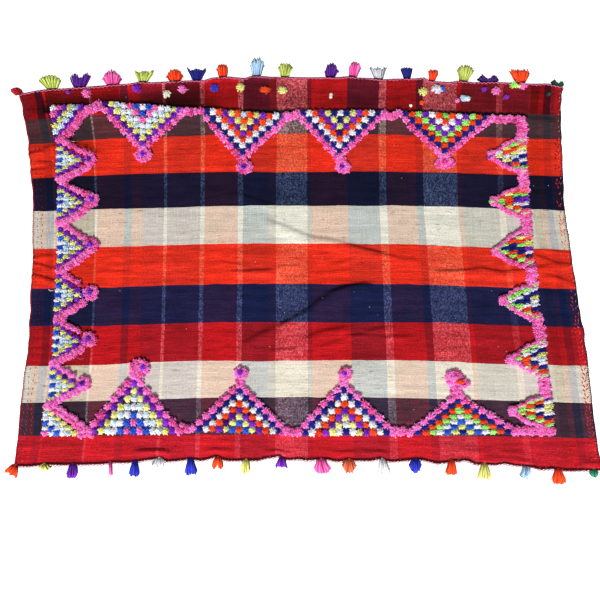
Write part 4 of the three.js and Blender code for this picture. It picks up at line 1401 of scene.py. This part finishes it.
def corner_tufts(x, y, pitch_x, pitch_y, skew, line, yarns):
    """The tufts of a corner motif: a triangle of them, and its slope."""
    yarns = yarns.split()
    found = []
    for i in range(CORNER_REACH):
        for j in range(CORNER_REACH - i):
            layer = CORNER_REACH - 1 - i - j
            place = (x + i * pitch_x + j * skew, y + j * pitch_y)
            found.append((*place, CORNER_TUFT[0], abs(pitch_y) * CORNER_TUFT[1], 0.3, yarns[layer]))
    return found + trim(line, CORNER_TRIM)


def make_tufts(yarn):
    """Every motif with the bands beside it. Each has its own random seed, from 500 on."""
    plans = {node: big_tufts(*shape) for node, *shape in BIG_MOTIFS}
    plans["tufts_left"] = []
    for motif in LEFT_MOTIFS:
        plans["tufts_left"] += left_tufts(*motif)
    for corner in CORNERS:
        plans["tufts_left"] += corner_tufts(*corner)
    plans["tufts_right"] = []
    for motif in RIGHT_MOTIFS:
        plans["tufts_right"] += right_tufts(*motif)
    plans["tufts_bottom_4"] += SIDE_LOBE
    made = []
    for number, (node, tufts) in enumerate(plans.items()):
        for x1, y1, x2, y2, wide in BANDS[node]:
            tufts = tufts + trim([(x1, y1), (x2, y2)], wide)
        pile = Pile()
        plant(pile, tufts, 500 + number)
        thing = pile.finish(node + "_yarn", yarn)
        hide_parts(node)
        made.append(thing)
    return made


def turned(points, x, y, to_x, to_y):
    """Points made with their tie at the origin and their locks towards +X, laid at a hem."""
    return np.stack(
        [
            points[:, 0] * to_x - points[:, 1] * to_y + x,
            points[:, 0] * to_y + points[:, 1] * to_x + y,
            points[:, 2],
        ],
        axis=-1,
    )


# A tassel's threads, at each section from the tie to the end: how far along it is, how far out a
# loop has gone there, and the thread's radius and painted shade, darkest at the tie
ALONG = np.array([0.0, 0.14, 0.36, 0.62, 0.84, 1.0])
LOOPED = np.array([0.0, 0.18, 0.46, 0.80, 1.0, 0.84])
THREAD_RADII = np.array([1.1, 1.3, 1.6, 1.75, 1.7, 1.45])
THREAD_PAINTED_SHADES = np.array([0.45, 0.66, 0.86, 1.0, 1.08, 1.1])
# The ties to the hem: how far each lies to the side
TIES = (-2.2, 0, 2.2)
# About a whole turn in radians, for random phases
WHOLE = 6.3


def tassel_threads(rng, reach, fan, lean, form, root):
    """A tassel's threads, that start root to each side of its tie: points, faces and shades."""
    middle, shoulder, edge, late = FORMS[form]
    count = int(24 + fan * 0.95)
    t = np.linspace(-1, 1, count) + rng.normal(scale=0.05, size=count)
    t = np.clip(np.concatenate([t, t * 0.82]), -1, 1)
    count = len(t)
    level = np.repeat([0.35, 1.0], count // 2) + rng.normal(scale=0.12, size=count)
    far = reach * np.interp(np.abs(t), [0, 0.55, 1], [middle, shoulder, edge])
    bunch = 0.8 * np.sin(t * 7 + rng.rand() * WHOLE)
    lock = np.sin(t * (5 + fan * 0.18) + bunch + rng.rand() * WHOLE)
    far = far * (1 + rng.normal(scale=0.075, size=count) + 0.035 * lock)
    peak = (3.5 + 10.0 * np.clip(level, 0.1, 1.1) * (1 - 0.5 * t * t)) * (1 + 0.18 * lock)
    s = ALONG
    spread = s**late
    side = (t * root)[:, None] * (1 - spread) + (t * fan / 2)[:, None] * spread + lean * s
    side = side + np.sin(s * 5 + rng.rand(count, 1) * WHOLE) * 1.1 * s
    # Round tassels are of uncut loops, that turn back at the end
    gone = LOOPED if form in ("dome", "block") else s
    out = 1.5 + (far - 1.5)[:, None] * gone
    rise = np.minimum(s / 0.36, 1)
    rise = rise * rise * (3 - 2 * rise)
    fall = 1 - 0.5 * np.maximum((s - 0.55) / 0.45, 0) ** 2
    high = np.maximum(((4.5 + 2 * level)[:, None] * (1 - rise) + peak[:, None] * rise) * fall, 1.7)
    paths = np.stack([out, side, high], axis=-1)
    radii = THREAD_RADII * (1 + rng.normal(scale=0.12, size=(count, 1)))
    points, quads, triangles = strands(paths, radii, rng)
    # Lower threads and the gaps between locks are painted darker as shade; the rest of the tone varies
    # at random
    tone = 0.55 + 0.42 * np.clip(level, 0, 1) + 0.30 * lock + rng.normal(scale=0.27, size=count)
    tone = THREAD_PAINTED_SHADES * np.clip(tone, 0.12, 1.35)[:, None]
    return points, quads, triangles, np.repeat(tone, 3, axis=1).ravel()


def tassel_knot(rng, tie, root):
    """A tassel's knot, and its ties to the hem."""
    ends = ball_of_ends(rng, 18, 13, 10.5, 3.0, low_angle=95)
    # The knot and its ties are painted darker, as shade at the tassel's root
    parts = [(ends[0] * (1, root / 6.0, 1) + (4.5, 0, 0.3), ends[1], ends[2], ends[3] * 0.62)]
    steps = np.linspace(0, 1, 7)
    for offset in TIES:
        up = 4.4 + 2.6 * np.sin(steps * 2.4)
        cord = np.stack([-tie + steps * (tie + 6), offset + steps * 0, up], -1)
        points, quads, triangles = strands(cord[None], np.full((1, 7), 1.2), rng, sides=4)
        parts.append((points, quads, triangles, np.full(len(points), 0.8)))
    return parts


def tassel_shape(rng, reach, fan, lean, form, tie):
    """One tassel, its tie at the origin: its threads, knot and ties."""
    root = 5.0 + fan * 0.10
    threads = tassel_threads(rng, reach, fan, lean, form, root)
    return [threads] + tassel_knot(rng, tie, root)


# How the yarn's reach and spread compare with the solids' in the tables
TASSEL_REACH = 0.92
TASSEL_FAN = 1.08
# Each hem: its tassels, its thread v, the way out in y, how much longer its tassels are than the
# table says, and the length of their ties
HEMS = ((TOP_TASSELS, HEM_TOP, 1.0, 6, 7.0), (BOTTOM_TASSELS, HEM_BOTTOM, -1.0, 3, 3.0))
CORNER_TIE = 7.0


def make_tassels(yarn):
    """Every tassel. Each has its own random seed, from 900 on."""
    rows = []
    for tassels, v, out, longer, tie in HEMS:
        for node, u, reach, fan, lean, form, color in tassels:
            rows.append((node, u, v, 0.0, out, reach + longer, fan, -lean * out, form, color, tie))
    for node, u, v, to_x, to_y, reach, fan, form, color in CORNER_TASSELS:
        rows.append((node, u, v, to_x, to_y, reach, fan, 0.0, form, color, CORNER_TIE))
    made = []
    for number, (node, u, v, to_x, to_y, reach, fan, lean, form, color, tie) in enumerate(rows):
        rng = np.random.RandomState(900 + number)
        x, y = (float(n) for n in edge_place(u, v))
        pile = Pile()
        shape = tassel_shape(rng, reach * TASSEL_REACH, fan * TASSEL_FAN, lean, form, tie)
        for points, quads, triangles, shade in shape:
            pile.add(turned(points, x, y, to_x, to_y), quads, triangles, dyed(YARNS[color], shade))
        thing = pile.finish("threads_" + node, yarn)
        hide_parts("tassel_" + node)
        made.append(thing)
    return made


# Pompoms that are solids: name, the threads u and v they are sewn to, size across and along,
# height and yarn
POMPOMS = [
    ("pompom_1", -821, 742, 36, 36, 20, "pink"),
    ("pompom_2", -637, 749, 34, 34, 19, "violet"),
    ("pompom_3", -524, 718, 32, 30, 18, "cream"),
    ("pompom_4", -464, 735, 34, 34, 20, "pink"),
    ("pompom_5", -341, 734, 32, 32, 19, "cobalt"),
    ("pompom_6", -239, 734, 32, 34, 19, "lemon"),
    ("pompom_7", -140, 722, 40, 27, 17, "orange"),
    ("pompom_8", -71, 719, 36, 32, 19, "lemon"),
    ("pompom_9", 498, 721, 36, 32, 19, "lemon"),
    ("pompom_10", 554, 732, 44, 32, 19, "white"),
    ("pompom_11", 790, 735, 34, 34, 19, "pink"),
]
# Small ones: x, y, size and yarn
SMALL_POMPOMS = [
    (-945, 710, 16, "violet"), (127, 701, 12, "cream"), (126, 691, 11, "cream"),
    (583, 724, 22, "blue"), (452, 656, 11, "cream"), (497, 668, 18, "orange"),
    (642, 676, 18, "pink"), (668, 686, 26, "sky"), (684, 683, 22, "pale_sky"),
    (752, 722, 20, "violet"), (842, 690, 20, "violet"), (873, 740, 30, "green"),
    (894, 735, 16, "lemon"), (911, 735, 30, "pink"), (1015, 703, 16, "bottle"),
]


def pompom(pile, x, y, across, along, high, color, seed):
    """Adds a pompom to a pile: yarn ends about a heart painted darker, as shade."""
    rng = np.random.RandomState(seed)
    u, v = threads_at(x, y)
    floor = float(lift(u, v)) + THICKNESS
    ends = ball_of_ends(rng, int(30 + across * 1.8), across * 1.05, high, 2.9, low_angle=92)
    stretch, place = (1, along / across, 1), (x, y, floor)
    pile.add(ends[0] * stretch + place, ends[1], ends[2], dyed(YARNS[color], ends[3]))
    points, quads, triangles = dome(across * 0.33, high * 0.66)
    # The heart is painted darker, as the shade among the ends
    pile.add(points * stretch + place, quads, triangles, np.array(YARNS[color]) * 0.6)


def make_pompoms(yarn):
    """Every pompom. The larger ones' random seeds run from 1500 on, the small ones' from 1600."""
    made = []
    for number, (node, u, v, across, along, high, color) in enumerate(POMPOMS):
        x, y = (float(n) for n in cloth_place(u, v))
        pile = Pile()
        pompom(pile, x, y, across, along, high, color, 1500 + number)
        thing = pile.finish("yarn_" + node, yarn)
        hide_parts(node)
        made.append(thing)
    pile = Pile()
    for number, (x, y, across, color) in enumerate(SMALL_POMPOMS):
        pompom(pile, x, y, across, across, 8 + across * 0.35, color, 1600 + number)
    small = pile.finish("small_pompoms", yarn)
    return made + [small]


def along_edge(u1, v1, u2, v2, step):
    """Points every step millimetres along an edge, and the outward direction in plan there."""
    count = int(math.hypot(u2 - u1, v2 - v1) / step)
    u, v = np.linspace(u1, u2, count), np.linspace(v1, v2, count)
    x, y = edge_place(u, v)
    ax, ay = np.gradient(x), np.gradient(y)
    length = np.hypot(ax, ay)
    return u, v, x, y, ay / length, -ax / length


CORD_SIDES = 4


def add_cord(pile, x, y, z, radius, color, rng, shade=1.0):
    """Adds one cord along a line of places to a pile."""
    path = np.stack(np.broadcast_arrays(x, y, z), -1)[None]
    tone = 1 + rng.normal(scale=0.08, size=path.shape[1])
    points, quads, triangles = strands(path, np.full(path.shape[:2], radius), rng, CORD_SIDES)
    colors = np.repeat(tone * shade, CORD_SIDES)[:, None] * np.array(YARNS[color])
    pile.add(points, quads, triangles, colors)


# How far apart the sections of an edge's cord are, and how far its two plies turn between them
CORD_STEP = 3.2
CORD_TURN = 0.9


def hem_edging(pile, u1, v1, u2, v2, rng, outer, thick, inner, loop_out):
    """A two-ply cord on the rim, and a line of crochet loops in another yarn beside it."""
    u, v, x, y, nx, ny = along_edge(u1, v1, u2, v2, CORD_STEP)
    ground = lift(u, v)
    turn = np.arange(len(u)) * CORD_TURN
    for phase in (0, math.pi):
        angle = turn + phase
        off, up = np.cos(angle) * thick * 0.9 + thick, np.sin(angle) * thick * 0.9
        add_cord(pile, x + nx * off, y + ny * off, ground + thick + 1.4 + up, thick, outer, rng)
    if inner is None:
        return
    wave = np.abs(np.sin(turn * 0.72)) * 5.0 + smooth_noise(u + 7.7, v, 30, 9) * 3.0
    z = ground + 3.6 + 0.8 * np.sin(turn * 1.44)
    z = np.where(loop_out + wave > 1, 2.0 + 0.6 * np.sin(turn * 1.44), z + 1.0)
    loop_thick = 1.4 if loop_out < 0 else 1.9
    out = loop_out + wave
    add_cord(pile, x + nx * out, y + ny * out, z, loop_thick, inner, rng)


# Stitches round an edge: how far apart they are, where each goes (how far out, and how high), and
# its radius
OVERCAST_STEP = 8.0
OVERCAST_PATH = [(-5.5, 3.3), (-2.75, 4.0), (0.6, 3.4), (1.3, 1.4), (-0.6, 0.9)]
OVERCAST_RADIUS = 1.35


def overcast(pile, u1, v1, u2, v2, color, rng):
    """Stitches wrapped round an edge."""
    u, v, x, y, nx, ny = along_edge(u1, v1, u2, v2, OVERCAST_STEP)
    ground = lift(u, v)
    slant = np.linspace(-1.6, 1.6, len(OVERCAST_PATH))
    paths = np.stack(
        [
            np.stack([x + nx * out - ny * lean, y + ny * out + nx * lean, ground + z], -1)
            for (out, z), lean in zip(OVERCAST_PATH, slant)
        ],
        axis=1,
    )
    points, quads, triangles = strands(paths, np.full(paths.shape[:2], OVERCAST_RADIUS), rng)
    tone = np.repeat(1 + rng.normal(scale=0.15, size=len(u)), 3 * len(OVERCAST_PATH))
    pile.add(points, quads, triangles, tone[:, None] * np.array(YARNS[color]))


def add_stitches(pile, places, color, rng, long, radius):
    """Short stitches that lie on the cloth: threads u and v and direction of each."""
    for u, v, angle in places:
        x, y = (float(n) for n in cloth_place(u, v))
        ground = float(lift(u, v)) + THICKNESS
        s = np.array([-0.5, -0.2, 0.2, 0.5]) * long
        z = ground + np.array([0.2, 1.1, 1.1, 0.2])
        shade = 1 + rng.normal(scale=0.1)
        add_cord(pile, x + s * math.cos(angle), y + s * math.sin(angle), z, radius, color, rng, shade)


# Each edge: name, ends, rim yarn and its thickness, loops' yarn, and where they start outside the rim
EDGES = [
    ("top_edging", (HALF_WEFT, HEM_TOP, -HALF_WEFT, HEM_TOP), "soot", 1.6, "rose", -6.5),
    # The bottom rim's thick maroon cord is partly the hem's dark overcast and partly painted shadow of
    # the curled hem
    ("bottom_edging", (-HALF_WEFT, HEM_BOTTOM, HALF_WEFT, HEM_BOTTOM), "maroon", 2.5, "old_rose", 4.6),
    ("left_edging", (-HALF_WEFT, HEM_TOP, -HALF_WEFT, HEM_BOTTOM), "crimson", 1.2, None, 0),
    ("right_edging", (HALF_WEFT, HEM_BOTTOM, HALF_WEFT, HEM_TOP), "ink", 1.3, None, 0),
]
# Crossed stitches along the right edge, in two columns: threads u, first and last thread v and step,
# lean in degrees and length. More of them are left below this thread v than above it
CROSSED_U = (1034, 1046)
CROSSED_V = (-735, 765, 15.0)
CROSSED_LEAN = 25
CROSSED_LONG = 11.0
MORE_BELOW = -200
LEFT_BELOW = 0.6
LEFT_ABOVE = 0.3
# They are darker above this thread v, and brighter on the pale bands
DIM_ABOVE = 375
PALE_BANDS = ((238, 375), (-527, -386))
# Columns of stitches: thread u, first and last thread v, step, spread, direction, yarn, length, radius
STITCH_COLUMNS = [
    (1050, -730, 765, 26.0, 5, 1.2, "old_rose", 8.0, 1.0),
    (-1041, -735, 765, 24.0, 4, 1.5, "maroon", 7.0, 1.2),
    (-1024, -735, 765, 24.0, 4, 1.5, "maroon", 7.0, 1.2),
    (-1050, -655, -530, 17.0, 3, 1.7, "brick", 8.0, 1.3),
    (-1032, -655, -530, 17.0, 3, 1.7, "brick", 8.0, 1.3),
    (-1014, -655, -530, 17.0, 3, 1.7, "brick", 8.0, 1.3),
]
# Loose threads: yarn, and places in plan
LOOSE_THREADS = [
    ("white", [(-938, 508), (-925, 503), (-910, 503), (-902, 507)]),
    ("white", [(-930, 490), (-915, 486), (-900, 486)]),
    ("maroon", [(712, 618), (715, 636), (711, 655)]),
    ("pink", [(-112, 540), (-104, 530), (-108, 518)]),
    ("pink", [(-868, -372), (-856, -380), (-842, -376)]),
    ("white", [(-992, -104), (-982, -110), (-972, -108)]),
    ("white", [(1115, -796), (1125, -788), (1135, -790), (1142, -800), (1134, -806)]),
    ("soot", [(1122, -800), (1134, -794), (1144, -800)]),
]
LOOSE_RADIUS = 0.9
LOOSE_POINTS = 9


def crossed_stitches(rng):
    """Stitches that lean to and fro along the right edge, closer together in its lower part."""
    lean = math.radians(CROSSED_LEAN)
    found = []
    for v in np.arange(*CROSSED_V):
        aside = rng.normal(scale=2.5)
        share = LEFT_BELOW if v < MORE_BELOW else LEFT_ABOVE
        if rng.rand() < share + 0.4:
            found.append((CROSSED_U[0] + aside, v, math.pi / 2 + lean + rng.normal(scale=0.3)))
        if rng.rand() < share:
            found.append((CROSSED_U[1] + aside, v + 5, math.pi / 2 - lean + rng.normal(scale=0.3)))
    return found


def make_edging(yarn):
    """The edges' cords, loops and stitches, and every stitch and loose thread on the cloth."""
    rng = np.random.RandomState(77)
    made = []
    for name, ends, rim, thick, loops, loop_out in EDGES:
        pile = Pile()
        hem_edging(pile, *ends, rng, rim, thick, loops, loop_out)
        overcast(pile, *ends, rim, rng)
        thing = pile.finish(name, yarn)
        made.append(thing)

    pile = Pile()
    dim, on_pale, others = [], [], []
    for place in crossed_stitches(rng):
        v = place[1]
        pale = any(low < v < high for low, high in PALE_BANDS)
        (dim if v > DIM_ABOVE else on_pale if pale else others).append(place)
    add_stitches(pile, dim, "maroon", rng, CROSSED_LONG, 1.7)
    add_stitches(pile, on_pale, "crimson", rng, CROSSED_LONG, 1.8)
    add_stitches(pile, others, "brick", rng, CROSSED_LONG, 1.5)
    for u, low, high, step, spread, angle, color, long, radius in STITCH_COLUMNS:
        column = []
        for v in np.arange(low, high, step):
            column.append((u + rng.normal(scale=2), v + rng.normal(scale=spread), angle))
        add_stitches(pile, column, color, rng, long, radius)
    for color, line in LOOSE_THREADS:
        share, known = np.linspace(0, 1, LOOSE_POINTS), np.linspace(0, 1, len(line))
        x, y = (np.interp(share, known, values) for values in zip(*line))
        z = lift(*threads_at(x, y)) + THICKNESS + 1.0
        add_cord(pile, x, y, z, LOOSE_RADIUS, color, rng)
    thing = pile.finish("stitches_and_threads", yarn)
    return made + [thing]


make_stage()
cloth, cloth_area = make_cloth()
tuft_yarn = yarn_material("tuft_wool", 0.0022)
thread_yarn = yarn_material("thread_wool", 0.0016)
trims = make_tufts(tuft_yarn) + make_tassels(thread_yarn)
trims += make_pompoms(tuft_yarn) + make_edging(thread_yarn)

bpy.context.view_layer.update()
